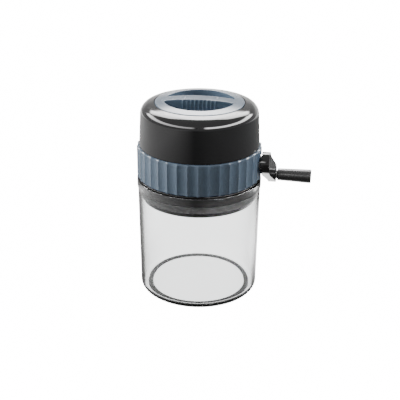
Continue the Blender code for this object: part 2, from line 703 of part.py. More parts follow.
def make_clip(carrier):
    """Open retaining clip in the shaft's groove."""
    inner = CLIP_GROOVE_R + GAP
    start = -math.pi / 2 + CLIP_MOUTH / 2
    sweep = math.tau - CLIP_MOUTH
    angles = [start + sweep * i / CLIP_STEPS for i in range(CLIP_STEPS + 1)]
    outline = [(CLIP_R * math.cos(a), CLIP_R * math.sin(a)) for a in angles]
    outline += [(inner * math.cos(a), inner * math.sin(a)) for a in reversed(angles)]
    clip = along_x(prism(outline, CLIP_X - CLIP_T / 2, CLIP_X + CLIP_T / 2))
    add_object("shaft_clip", clip, "stainless_steel", carrier)


def disc_outline(turn):
    """Outline of a toothed disc: hooked teeth with a steep leading edge."""
    points = []
    pitch = math.tau / DISC_TEETH
    for tooth in range(DISC_TEETH):
        base = turn + tooth * pitch
        for share, height in DISC_TOOTH:
            radius = DISC_ROOT_R + (DISC_R - DISC_ROOT_R) * height
            angle = base + share * pitch
            points.append((radius * math.cos(angle), radius * math.sin(angle)))
    return points


def make_discs(carrier):
    """Toothed discs on the square shaft, each turned a little from the one before."""
    for number, x in enumerate(disc_places(), 1):
        turn = math.tau / DISC_TEETH * number / DISC_STAGGER
        blank = along_x(prism(disc_outline(turn), x - DISC_T / 2, x + DISC_T / 2))
        disc = add_object(f"cutter_disc_{number}", blank, "stainless_steel", carrier)
        hole = along_x(prism(square(SOCKET_SQUARE), x - DISC_T, x + DISC_T))
        cut(disc, [hole])


def make_spacers(carrier):
    """Tubes that hold the discs at their pitch, and one at each end of the row."""
    places = disc_places()
    half = DISC_T / 2 + GAP
    ends = [SHAFT_SQUARE_LEFT_X + GAP] + [x + half for x in places]
    starts = [x - half for x in places] + [-SHAFT_SQUARE_LEFT_X - GAP]
    for number, (low, high) in enumerate(zip(ends, starts)):
        spacer = along_x(tube(SPACER_INNER_R, SPACER_R, low, high, SPACER_STEPS))
        add_object(f"disc_spacer_{number + 1}", spacer, "natural_nylon", carrier)


def make_bushes():
    """Plain bearings in the head's two side walls."""
    right_flange_r = BUSH_RIGHT_R + BUSH_FLANGE_W
    right_face = math.sqrt(SKIRT_INNER_R ** 2 - right_flange_r ** 2) - GAP
    right = [
        (BUSH_RIGHT_BORE_R, right_face - BUSH_FLANGE_T),
        (right_flange_r, right_face - BUSH_FLANGE_T),
        (right_flange_r, right_face),
        (BUSH_RIGHT_R, right_face),
        (BUSH_RIGHT_R, BUSH_RIGHT_END_X),
        (BUSH_RIGHT_BORE_R, BUSH_RIGHT_END_X),
    ]
    left_flange_r = BUSH_LEFT_R + BUSH_FLANGE_W
    left_face = -math.sqrt(SKIRT_INNER_R ** 2 - left_flange_r ** 2) + GAP
    left = [
        (BUSH_LEFT_BORE_R, BUSH_LEFT_END_X),
        (BUSH_LEFT_R, BUSH_LEFT_END_X),
        (BUSH_LEFT_R, left_face),
        (left_flange_r, left_face),
        (left_flange_r, left_face + BUSH_FLANGE_T),
        (BUSH_LEFT_BORE_R, left_face + BUSH_FLANGE_T),
    ]
    for name, profile in (("bush_right", right), ("bush_left", left)):
        bush = along_x(spun(profile, SMALL_STEPS, closed=True))
        add_object(name, bush, "natural_nylon", None, (0, 0, CRANK_Z))


# ---- Crank ----------------------------------------------------------------------------------------


def arm_stations():
    """(distance along the arm, half width) from hub end to knob end, with round ends."""
    flank = math.asin((ARM_HUB_R - ARM_END_R) / ARM_LENGTH)
    hub_sweep = math.pi / 2 + flank - ARM_FIRST
    end_sweep = math.pi / 2 - flank - ARM_FIRST
    stations = []
    for i in range(ARM_END_STEPS + 1):
        angle = math.pi - ARM_FIRST - hub_sweep * i / ARM_END_STEPS
        stations.append((ARM_HUB_R * math.cos(angle), ARM_HUB_R * math.sin(angle)))
    a_u, a_w = stations[-1]
    for share in (0.25, 0.5, 0.75):
        b_u = ARM_LENGTH + ARM_END_R * math.sin(flank)
        b_w = ARM_END_R * math.cos(flank)
        stations.append((a_u + (b_u - a_u) * share, a_w + (b_w - a_w) * share))
    for i in range(ARM_END_STEPS + 1):
        angle = math.pi / 2 - flank - end_sweep * i / ARM_END_STEPS
        stations.append((ARM_LENGTH + ARM_END_R * math.cos(angle), ARM_END_R * math.sin(angle)))
    return stations


def arm_set(u):
    """Outward set of the arm at a distance from the axle: level at both ends, sloped between."""
    start = ARM_HUB_R
    end = ARM_LENGTH - ARM_END_R
    share = min(max((u - start) / (end - start), 0), 1)
    return ARM_LEAN * share


def arm_point(x, u, w):
    """World offset from the axle of a point on the arm: along it by u, across it by w."""
    down, back = math.cos(ARM_ANGLE), math.sin(ARM_ANGLE)
    return (x, u * back + w * down, -u * down + w * back)


def make_crank_arm(carrier):
    """Flat arm with a round hub, a shank that runs in the bush and a socket for the shaft."""
    bm = bmesh.new()
    rings = []
    for u, w in arm_stations():
        near, far = ARM_INNER_X + arm_set(u), ARM_OUTER_X + arm_set(u)
        corners = ((near, -w), (near, w), (far, w), (far, -w))
        rings.append([bm.verts.new(arm_point(x, u, side)) for x, side in corners])
    for ring, following in zip(rings, rings[1:]):
        for i in range(4):
            j = (i + 1) % 4
            bm.faces.new((ring[i], ring[j], following[j], following[i]))
    bm.faces.new(rings[0])
    bm.faces.new(rings[-1])
    arm = add_object("crank_arm", bm, "gloss_black", carrier)
    shank = add_object(
        "crank_shank_body",
        along_x(rod(ARM_SHANK_R, ARM_SHANK_X, ARM_INNER_X + ARM_T / 2, SMALL_STEPS)),
        parent=arm,
    )
    shank.hide_render = True
    shank.display_type = "WIRE"
    join = arm.modifiers.new("shank", "BOOLEAN")
    join.operation = "UNION"
    join.solver = "EXACT"
    join.object = shank
    socket = along_x(prism(square(SOCKET_SQUARE), ARM_SHANK_X - GAP, ARM_SHANK_X + ARM_SOCKET_DEPTH))
    cap_x = ARM_OUTER_X - ARM_CAP_T - GAP
    head_x = cap_x - CRANK_SCREW_HEAD_H - 2 * GAP
    cap_seat = along_x(rod(ARM_CAP_R + GAP, cap_x, ARM_OUTER_X + GAP, SMALL_STEPS))
    head_seat = along_x(rod(CRANK_SCREW_HEAD_R + GAP, head_x, ARM_OUTER_X, SMALL_STEPS))
    screw_hole = along_x(rod(CRANK_SCREW_R + GAP, ARM_SHANK_X, ARM_OUTER_X, SCREW_STEPS))
    _, pin_y, pin_z = arm_point(0, ARM_LENGTH, 0)
    pin_hole = along_x(rod(PIN_R + GAP, ARM_INNER_X, ARM_OUTER_X + 2 * ARM_LEAN, SMALL_STEPS))
    cut(arm, [socket, cap_seat, head_seat, screw_hole, moved(pin_hole, (0, pin_y, pin_z))])


def make_crank_screw(carrier):
    """Screw that holds the crank on the shaft, and the cap over its head."""
    cap_x = ARM_OUTER_X - ARM_CAP_T
    head_high = cap_x - 2 * GAP
    head_low = head_high - CRANK_SCREW_HEAD_H
    tip = head_low - CRANK_SCREW_LENGTH
    profile = [
        (0, tip),
        (CRANK_SCREW_R, tip),
        (CRANK_SCREW_R, head_low),
        (CRANK_SCREW_HEAD_R, head_low),
        (CRANK_SCREW_HEAD_R, head_high),
        (0, head_high),
    ]
    screw = along_x(spun(profile, SMALL_STEPS, closed=False))
    add_object("crank_screw", screw, "stainless_steel", carrier)
    cap = along_x(rod(ARM_CAP_R, cap_x, ARM_OUTER_X, SMALL_STEPS))
    add_object("hub_cap", cap, "gloss_black", carrier)


def make_knob_pin(carrier):
    """Riveted axle of the knob, with its washer."""
    _, y, z = arm_point(0, ARM_LENGTH, 0)
    inner_face = ARM_INNER_X + ARM_LEAN - GAP
    end = KNOB_END_X - KNOB_CAP_T - 2 * GAP
    profile = [
        (0, inner_face - PIN_HEAD_T),
        (PIN_HEAD_R, inner_face - PIN_HEAD_T),
        (PIN_HEAD_R, inner_face),
        (PIN_R, inner_face),
        (PIN_R, end - PIN_HEAD_T),
        (PIN_HEAD_R, end - PIN_HEAD_T),
        (PIN_HEAD_R, end),
        (0, end),
    ]
    pin = along_x(spun(profile, SMALL_STEPS, closed=False))
    add_object("knob_pin", pin, "stainless_steel", carrier, (0, y, z))
    outer_face = ARM_OUTER_X + ARM_LEAN + GAP
    washer = along_x(tube(PIN_R + GAP, WASHER_R, outer_face, outer_face + WASHER_T, SMALL_STEPS))
    add_object("knob_washer", washer, "natural_nylon", carrier, (0, y, z))


def make_knob(carrier):
    """Tapered turning knob and the cap in its end."""
    cap_seat = KNOB_END_X - KNOB_CAP_T - GAP
    pin_seat = cap_seat - PIN_HEAD_T - 2 * GAP
    cap_r = KNOB_END_R - KNOB_WALL - KNOB_EDGE
    profile = [
        (PIN_R + GAP, KNOB_START_X),
        (KNOB_START_R - KNOB_EDGE, KNOB_START_X),
        (KNOB_START_R, KNOB_START_X + KNOB_EDGE),
        (KNOB_END_R, KNOB_END_X - KNOB_EDGE),
        (KNOB_END_R - KNOB_EDGE, KNOB_END_X),
        (cap_r + GAP, KNOB_END_X),
        (cap_r + GAP, cap_seat),
        (PIN_HEAD_R + GAP, cap_seat),
        (PIN_HEAD_R + GAP, pin_seat),
        (PIN_R + GAP, pin_seat),
    ]
    add_object("knob", along_x(spun(profile, SMALL_STEPS, closed=True)), "gloss_black", carrier)
    cap = along_x(rod(cap_r, KNOB_END_X - KNOB_CAP_T, KNOB_END_X, SMALL_STEPS))
    add_object("knob_cap", cap, "gloss_black", carrier)


# ---- Assembly -------------------------------------------------------------------------------------


def build():
    """Make every piece in its place."""
    clear_scene()
    lid_axis = add_empty("lid_axis", (0, 0, LID_EDGE_Z))
    crank_axis = add_empty("crank_axis", (0, 0, CRANK_Z))
    _, knob_y, knob_drop = arm_point(0, ARM_LENGTH, 0)
    knob_axis = add_empty("knob_axis", (0, knob_y, CRANK_Z + knob_drop))
    make_jar()
    make_foot_ring()
    make_housing()
    make_grip_ring()
    make_collar()
    make_collar_seal()
    make_lid(lid_axis)
    make_lid_seal(lid_axis)
    make_hopper()
    make_comb("comb_front", -1)
    make_comb("comb_back", 1)
    make_comb_screws()
    make_shaft(crank_axis)
    make_clip(crank_axis)
    make_discs(crank_axis)
    make_spacers(crank_axis)
    make_bushes()
    make_crank_arm(crank_axis)
    make_crank_screw(crank_axis)
    make_knob_pin(crank_axis)
    make_knob(knob_axis)


build()
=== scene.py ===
"""Looks of a hand crank table grinder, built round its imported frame.

Every class below is one sub-assembly: its fields are sizes in metres, its build method models
the pieces and hands them to the frame, and its finishes come from the Finish classes.
"""

import logging
import math
from dataclasses import dataclass, field
from enum import Enum
from typing import Callable, Iterable

import bpy
from mathutils import Matrix, Vector


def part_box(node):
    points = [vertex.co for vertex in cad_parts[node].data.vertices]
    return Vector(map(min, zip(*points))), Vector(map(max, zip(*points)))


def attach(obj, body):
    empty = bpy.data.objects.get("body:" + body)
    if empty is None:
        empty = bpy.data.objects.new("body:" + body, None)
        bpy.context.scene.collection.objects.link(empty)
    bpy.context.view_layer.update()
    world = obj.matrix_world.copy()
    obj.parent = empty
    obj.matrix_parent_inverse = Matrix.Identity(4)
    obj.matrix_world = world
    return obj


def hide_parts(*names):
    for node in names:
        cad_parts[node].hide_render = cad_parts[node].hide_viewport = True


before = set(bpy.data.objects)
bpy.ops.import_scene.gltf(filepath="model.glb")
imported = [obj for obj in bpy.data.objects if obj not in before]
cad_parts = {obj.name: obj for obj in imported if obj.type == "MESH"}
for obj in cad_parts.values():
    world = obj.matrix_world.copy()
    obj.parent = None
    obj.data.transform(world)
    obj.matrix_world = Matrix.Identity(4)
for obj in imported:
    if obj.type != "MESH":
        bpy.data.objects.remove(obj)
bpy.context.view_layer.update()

LOG = logging.getLogger("grinder")

MM = 0.001
FINE_STEPS = 192        # sides of the large turned pieces
MEDIUM_STEPS = 96       # sides of knob, hub, bushes and seals
THIN_EDGE = 0.1 * MM    # roundings of moulded edges
FINE_EDGE = 0.2 * MM
CRISP_EDGE = 0.3 * MM
WORN_EDGE = 0.4 * MM
SOFT_EDGE = 0.5 * MM
ROUND_EDGE = 0.6 * MM
WELD = 1e-6             # points closer than this are one point
NEAR = 1e-5             # a point this near a row of the fluted ring belongs to it
HOLE_DEPTH = 12 * MM    # of the cutters for the axle's holes
SMOOTH_ANGLE = math.radians(32)
CAMERA_TURN = 9.4       # degrees from the frame's -Y round to the camera's side
AIM_HEIGHT = 0.14       # height on the object that the panels face
LARGE_ARC = math.radians(4)     # facet of roundings over 5 mm
SMALL_ARC = math.radians(11)    # facet of smaller roundings

Point = tuple[float, float]
Corner = tuple[float, float, float]     # radius or x, height or y, rounding
Triple = tuple[float, float, float]     # a place, a size or a colour
Node = bpy.types.Node
Socket = bpy.types.NodeSocket
Tree = bpy.types.NodeTree
Piece = bpy.types.Object
Material = bpy.types.Material


class Body(Enum):
    """Bodies of the frame that pieces ride on."""

    JAR = "jar"
    HEAD = "head"
    LID = "lid"
    ROLLER = "roller"
    KNOB = "knob"


class Slot(Enum):
    """Material slots of the frame's record."""

    CLEAR = "clear_plastic"
    BLACK = "gloss_black"
    SLATE = "satin_slate"
    RUBBER = "soft_black"
    SILICONE = "grey_silicone"


# ---- Shader node groups shared by the finishes ---------------------------------------------------


class Nodes:
    """Adds nodes to a tree and links them in one call."""

    def __init__(self, tree: Tree) -> None:
        """Keep the tree that nodes are added to."""
        self.tree = tree

    def add(self, kind: str, links: dict | None = None, **values: object) -> Node:
        """Add one node, set its properties and feed its inputs.

        Args:
            kind: the node's type name without its ShaderNode prefix.
            links: input name or number to a value or an output socket.
            values: properties of the node itself.

        Returns:
            The new node.
        """
        node = self.tree.nodes.new(kind if kind.startswith("Node") else f"ShaderNode{kind}")
        for name, value in values.items():
            setattr(node, name, value)
        for key, value in (links or {}).items():
            if isinstance(value, Socket):
                self.tree.links.new(value, node.inputs[key])
            else:
                node.inputs[key].default_value = value
        return node

    def maths(self, operation: str, *terms: object) -> Socket:
        """Add a Math node and return its output."""
        return self.add("Math", dict(enumerate(terms)), operation=operation).outputs[0]

    def span(self, value: object, low: float, high: float, to_low: float, to_high: float) -> Socket:
        """Map a value from one range to another, clamped.

        Args:
            value: the output socket to map.
            low: start of the source range.
            high: end of the source range.
            to_low: result at the start.
            to_high: result at the end.

        Returns:
            The mapped value's socket.
        """
        numbers = {"From Min": low, "From Max": high, "To Min": to_low, "To Max": to_high}
        return self.add("MapRange", {"Value": value, **numbers}).outputs[0]

    def noise(self, vector: object, scale: float, detail: float = 2.0, rough: float = 0.5) -> Socket:
        """Add a noise texture and return its value.

        Args:
            vector: where the noise is read.
            scale: how fine it is, in waves per metre.
            detail: number of finer layers.
            rough: strength of the finer layers.

        Returns:
            The noise value's socket.
        """
        inputs = {"Vector": vector, "Scale": scale, "Detail": detail, "Roughness": rough}
        return self.add("TexNoise", inputs).outputs[0]

    def stretched(self, vector: object, scale: Triple, turn: tuple = (0, 0, 0)) -> Socket:
        """Scale and turn a vector with a Mapping node and return it."""
        return self.add("Mapping", {"Vector": vector, "Scale": scale, "Rotation": turn}).outputs[0]


def shader_group(name: str, inputs: Iterable[tuple[str, str, float]], outputs: Iterable[str],
                 fill: Callable[[Nodes, Node], dict]) -> Tree:
    """Build a shader node group once.

    Args:
        name: the group's name.
        inputs: name, socket type and default of each input.
        outputs: names of its value outputs.
        fill: adds the inner nodes and returns output name to socket.

    Returns:
        The group's node tree.
    """
    found = bpy.data.node_groups.get(name)
    if found:
        return found
    tree = bpy.data.node_groups.new(name, "ShaderNodeTree")
    for label, kind, default in inputs:
        socket = tree.interface.new_socket(label, in_out="INPUT", socket_type=f"NodeSocket{kind}")
        if kind == "Float":
            socket.default_value = default
    for label in outputs:
        tree.interface.new_socket(label, in_out="OUTPUT", socket_type="NodeSocketFloat")
    nodes = Nodes(tree)
    entry = nodes.add("NodeGroupInput")
    made = fill(nodes, entry)
    nodes.add("NodeGroupOutput", made)
    return tree


def mould_grain() -> Tree:
    """Fine leathery grain of a moulded surface: a height and a mask of its pores."""

    def fill(nodes: Nodes, entry: Node) -> dict:
        """Cells broken up by fine noise."""
        vector = entry.outputs["Vector"]
        scale = entry.outputs["Scale"]
        cells = nodes.add("TexVoronoi", {"Vector": vector, "Scale": scale}, feature="F1").outputs[0]
        fine = nodes.add("TexNoise", {"Vector": vector, "Scale": scale, "Detail": 3.0}).outputs[0]
        height = nodes.maths("ADD", nodes.maths("MULTIPLY", cells, 0.6), nodes.maths("MULTIPLY", fine, 0.5))
        return {"Height": height, "Pores": nodes.span(cells, 0.1, 0.55, 1.0, 0.0)}

    return shader_group("mould_grain", [("Vector", "Vector", 0), ("Scale", "Float", 2500)],
                        ["Height", "Pores"], fill)


def handling_marks() -> Tree:
    """Faint smears from fingers and hairline scratches in two directions."""

    def fill(nodes: Nodes, entry: Node) -> dict:
        """Broad noise for smears, stretched noise for hairlines."""
        vector = entry.outputs["Vector"]
        broad = nodes.noise(vector, 38, 4, 0.55)
        smears = nodes.span(broad, 0.48, 0.72, 0.0, 1.0)
        lines = []
        for turn in ((0.3, 0.2, 0.5), (1.1, -0.6, 1.9)):
            along = nodes.stretched(vector, (900, 60, 900), turn)
            lines.append(nodes.span(nodes.noise(along, 1.0, 1.0, 0.4), 0.67, 0.72, 0.0, 1.0))
        handled = nodes.span(broad, 0.4, 0.6, 0.0, 1.0)
        hairlines = nodes.maths("MULTIPLY", nodes.maths("MAXIMUM", *lines), handled)
        return {"Smears": smears, "Hairlines": hairlines}

    return shader_group("handling_marks", [("Vector", "Vector", 0)], ["Smears", "Hairlines"], fill)


def edge_wear_and_highlight() -> Tree:
    """Mask of proud edges for rubbed wear and a painted edge highlight, broken up as handling breaks it up.
    """

    def fill(nodes: Nodes, entry: Node) -> dict:
        """Convex edges times uneven noise."""
        # proud edges get a lighter colour from this mask: rubbed wear and a painted edge highlight
        edge = nodes.add("NewGeometry").outputs["Pointiness"]
        full = entry.outputs["Sharpness"]
        sharp = nodes.span(edge, nodes.maths("SUBTRACT", full, 0.02), full, 0.0, 1.0)
        uneven = nodes.span(nodes.noise(entry.outputs["Vector"], 220, 4, 0.6), 0.35, 0.65, 0.35, 1.0)
        return {"Wear": nodes.maths("MULTIPLY", sharp, uneven)}

    return shader_group("edge_wear_and_highlight", [("Vector", "Vector", 0), ("Sharpness", "Float", 0.58)], ["Wear"], fill)


def settled_dust() -> Tree:
    """Specks of dust on surfaces that face up."""

    def fill(nodes: Nodes, entry: Node) -> dict:
        """Sparse fine specks, kept where the normal points up."""
        up = nodes.add("SeparateXYZ", {0: nodes.add("NewGeometry").outputs["Normal"]}).outputs[2]
        specks = nodes.span(nodes.noise(entry.outputs["Vector"], 1400, 1, 0.5), 0.70, 0.76, 0.0, 1.0)
        film = nodes.span(nodes.noise(entry.outputs["Vector"], 90, 5, 0.6), 0.3, 0.7, 0.0, 0.5)
        both = nodes.maths("MAXIMUM", specks, film)
        return {"Dust": nodes.maths("MULTIPLY", both, nodes.span(up, 0.2, 0.9, 0.0, 1.0))}

    return shader_group("settled_dust", [("Vector", "Vector", 0)], ["Dust"], fill)


# ---- Finishes -------------------------------------------------------------------------------------


DUST_COLOUR = (0.5, 0.49, 0.47)
WORN_STEEL = (0.9, 0.89, 0.87)


@dataclass(frozen=True)
class Finish:
    """A surface finish that becomes one node material on first use."""

    name: str
    colour: Triple
    roughness: float

    def material(self) -> Material:
        """The finish's material, made on first use."""
        found = bpy.data.materials.get(self.name)
        if found:
            return found
        made = bpy.data.materials.new(self.name)
        made.use_nodes = True
        made.diffuse_color = (*self.colour, 1.0)
        nodes = Nodes(made.node_tree)
        shader = made.node_tree.nodes["Principled BSDF"]
        vector = nodes.add("TexCoord").outputs["Object"]
        self.dress(nodes, shader, vector)
        return made

    def dress(self, nodes: Nodes, shader: Node, vector: Socket) -> None:
        """Wire the surface detail into the shader; each kind of finish has its own."""
        raise NotImplementedError

    def group(self, nodes: Nodes, tree: Tree, vector: object, **values: float) -> Node:
        """Place a shared group with its own values.

        Args:
            nodes: helper of the material's tree.
            tree: the shared group.
            vector: where its patterns are read.
            values: input values by name.

        Returns:
            The group node.
        """
        node = nodes.add("Group", node_tree=tree)
        nodes.tree.links.new(vector, node.inputs["Vector"])
        for name, value in values.items():
            node.inputs[name].default_value = value
        return node

    def tint(self, nodes: Nodes, base: object, other: Triple, mask: object) -> Socket:
        """Mix a colour over another by a mask.

        Args:
            nodes: helper of the material's tree.
            base: colour or socket underneath.
            other: colour on top.
            mask: socket of the share of the top colour.

        Returns:
            The mixed colour's socket.
        """
        node = nodes.add("Mix", data_type="RGBA")
        nodes.tree.links.new(mask, node.inputs[0])
        if isinstance(base, Socket):
            nodes.tree.links.new(base, node.inputs[6])
        else:
            node.inputs[6].default_value = (*base, 1.0)
        node.inputs[7].default_value = (*other, 1.0)
        return node.outputs[2]

    def paint(self, nodes: Nodes, shader: Node, *layers: tuple[Triple, Socket, float]) -> None:
        """Lay colours over the finish's own one.

        Args:
            nodes: helper of the material's tree.
            shader: the Principled shader.
            layers: colour, mask and strength of each layer.
        """
        colour = self.colour
        for other, mask, share in layers:
            colour = self.tint(nodes, colour, other, nodes.maths("MULTIPLY", mask, share))
        nodes.tree.links.new(colour, shader.inputs["Base Color"])

    def roughen(self, nodes: Nodes, shader: Node, *layers: tuple[Socket, float]) -> None:
        """Add to the finish's own roughness.

        Args:
            nodes: helper of the material's tree.
            shader: the Principled shader.
            layers: mask and strength of each layer.
        """
        rough = self.roughness
        for mask, share in layers:
            rough = nodes.maths("MULTIPLY_ADD", mask, share, rough)
        nodes.tree.links.new(rough, shader.inputs["Roughness"])

    def bump(self, nodes: Nodes, shader: Node, height: object, strength: float, distance: float) -> None:
        """Feed a height to the shader's normal.

        Args:
            nodes: helper of the material's tree.
            shader: the Principled shader.
            height: socket of the height.
            strength: share of the effect.
            distance: depth of the relief in metres.
        """
        node = nodes.add("Bump", {"Height": height, "Strength": strength, "Distance": distance})
        nodes.tree.links.new(node.outputs[0], shader.inputs["Normal"])


@dataclass(frozen=True)
class MouldedPlastic(Finish):
    """Moulded plastic or rubber: grain, smears, hairlines, rubbed edges with a painted edge highlight, and a
    little dust.
    """

    grain_scale: float = 2500.0
    grain_depth: float = 0.00001
    variation: float = 0.1
    smear: float = 0.12
    # strength of the lighter proud edges: rubbed wear and a painted edge highlight
    wear_and_highlight: float = 0.25
    dust: float = 0.03
    specular: float = 0.5

    def dress(self, nodes: Nodes, shader: Node, vector: Socket) -> None:
        """Wire grain, marks, wear with a painted edge highlight, and dust into colour, roughness and normal.
        """
        grain = self.group(nodes, mould_grain(), vector, Scale=self.grain_scale)
        marks = self.group(nodes, handling_marks(), vector)
        wear_and_highlight = self.group(nodes, edge_wear_and_highlight(), vector)
        dust = self.group(nodes, settled_dust(), vector)
        deep = tuple(c * (1 - 2 * self.variation) for c in self.colour)
        # lighter colour on proud edges: rubbed wear and a painted edge highlight
        light = tuple(min(1.0, c * 1.6 + 0.03) for c in self.colour)
        cloud = nodes.span(nodes.noise(vector, 60, 3, 0.5), 0.3, 0.7, 0.0, 1.0)
        self.paint(nodes, shader, (deep, cloud, 0.6), (deep, grain.outputs["Pores"], 0.35),
                   (light, wear_and_highlight.outputs[0], self.wear_and_highlight), (DUST_COLOUR, dust.outputs[0], self.dust))
        self.roughen(nodes, shader, (marks.outputs["Smears"], self.smear),
                     (marks.outputs["Hairlines"], 0.1), (dust.outputs[0], 0.04))
        shader.inputs["Specular IOR Level"].default_value = self.specular
        self.bump(nodes, shader, grain.outputs["Height"], 0.6, self.grain_depth)


@dataclass(frozen=True)
class ClearPlastic(Finish):
    """Clear moulded plastic: light passes, with faint flow waves, haze and hairlines."""

    ior: float = 1.49

    def dress(self, nodes: Nodes, shader: Node, vector: Socket) -> None:
        """Wire haze and hairlines into roughness, and flow waves into the normal."""
        marks = self.group(nodes, handling_marks(), vector)
        shader.inputs["Transmission Weight"].default_value = 1.0
        shader.inputs["IOR"].default_value = self.ior
        cloud = nodes.span(nodes.noise(vector, 30, 3, 0.5), 0.3, 0.7, 0.0, 1.0)
        deep = tuple(c * 0.985 for c in self.colour)
        self.paint(nodes, shader, (deep, cloud, 1.0))
        self.roughen(nodes, shader, (marks.outputs["Smears"], 0.02), (marks.outputs["Hairlines"], 0.12))
        self.bump(nodes, shader, nodes.noise(vector, 24, 2, 0.4), 0.15, 0.0004)


@dataclass(frozen=True)
class BrushedSteel(Finish):
    """Stainless steel with fine grinding lines and stain-like variation."""

    lines: Triple = (900.0, 900.0, 25.0)

    def dress(self, nodes: Nodes, shader: Node, vector: Socket) -> None:
        """Wire grinding lines into colour, roughness and normal."""
        marks = self.group(nodes, handling_marks(), vector)
        wear_and_highlight = self.group(nodes, edge_wear_and_highlight(), vector, Sharpness=0.6)
        shader.inputs["Metallic"].default_value = 1.0
        ground = nodes.noise(nodes.stretched(vector, self.lines), 1.0, 3, 0.7)
        dark = tuple(c * 0.72 for c in self.colour)
        lines = nodes.span(ground, 0.3, 0.7, 0.0, 1.0)
        self.paint(nodes, shader, (dark, lines, 1.0), (WORN_STEEL, wear_and_highlight.outputs[0], 0.5))
        self.roughen(nodes, shader, (ground, 0.18), (marks.outputs["Smears"], 0.1))
        self.bump(nodes, shader, ground, 0.5, 0.00003)


CLEAR = ClearPlastic("clear_jar_plastic", (0.955, 0.965, 0.965), 0.015)
BLACK = MouldedPlastic("gloss_black_plastic", (0.006, 0.006, 0.0065), 0.07, grain_scale=6000,
                       grain_depth=0.000002, smear=0.05, wear_and_highlight=0.3, dust=0.012)
SLATE = MouldedPlastic("satin_slate_plastic", (0.085, 0.125, 0.175), 0.19, grain_scale=3200,
                       grain_depth=0.000003, variation=0.08, smear=0.03, wear_and_highlight=0.5)
SATIN = MouldedPlastic("satin_black_plastic", (0.03, 0.03, 0.031), 0.24, grain_scale=3000,
                       grain_depth=0.000002, smear=0.05, wear_and_highlight=0.3)
RUBBER = MouldedPlastic("soft_black_rubber", (0.018, 0.018, 0.019), 0.6, grain_scale=1800,
                        grain_depth=0.00002, wear_and_highlight=0.15, specular=0.35)
SILICONE = MouldedPlastic("grey_silicone_seal", (0.23, 0.23, 0.235), 0.2, grain_scale=1500,
                          grain_depth=0.000012, wear_and_highlight=0.2, specular=0.45)
NYLON = MouldedPlastic("natural_nylon_bearing", (0.62, 0.61, 0.57), 0.42, grain_scale=2400, wear_and_highlight=0.1)
DARK = MouldedPlastic("dark_inner_plastic", (0.035, 0.036, 0.038), 0.38, grain_scale=2600,
                      grain_depth=0.000014, wear_and_highlight=0.3)
STEEL = BrushedSteel("ground_stainless_steel", (0.60, 0.59, 0.57), 0.2)


# ---- Modelling bench ------------------------------------------------------------------------------


def rounded(corners: list[Corner], closed: bool) -> list[Point]:
    """Round the corners of a profile.

    Args:
        corners: (radius, height, rounding) of each corner in order.
        closed: whether the last corner joins the first.

    Returns:
        Profile points with an arc at each rounded corner.
    """
    points: list[Point] = []
    count = len(corners)
    for i, (x, y, radius) in enumerate(corners):
        inner = closed or 0 < i < count - 1
        if radius <= 0 or not inner:
            points.append((x, y))
            continue
        here = Vector((x, y))
        before = (Vector(corners[i - 1][:2]) - here).normalized()
        after = (Vector(corners[(i + 1) % count][:2]) - here).normalized()
        half = math.acos(max(-1.0, min(1.0, before.dot(after)))) / 2
        if half > math.pi / 2 - 0.02:
            points.append((x, y))
            continue
        reach = radius / math.tan(half)
        centre = here + (before + after).normalized() * (radius / math.sin(half))
        start, end = here + before * reach - centre, here + after * reach - centre
        sweep = start.angle_signed(end)
        steps = max(3, math.ceil(abs(sweep) / (LARGE_ARC if radius > 5 * MM else SMALL_ARC)))
        for k in range(steps + 1):
            turned = Matrix.Rotation(-sweep * k / steps, 2) @ start
            points.append((centre.x + turned.x, centre.y + turned.y))
    return points


def section(inner: float, outer: float, low: float, high: float, *edges: float) -> list[Corner]:
    """Four corners of a ring's section, from its inner foot round, with their roundings."""
    places = ((inner, low), (outer, low), (outer, high), (inner, high))
    return [(*place, edge) for place, edge in zip(places, edges)]


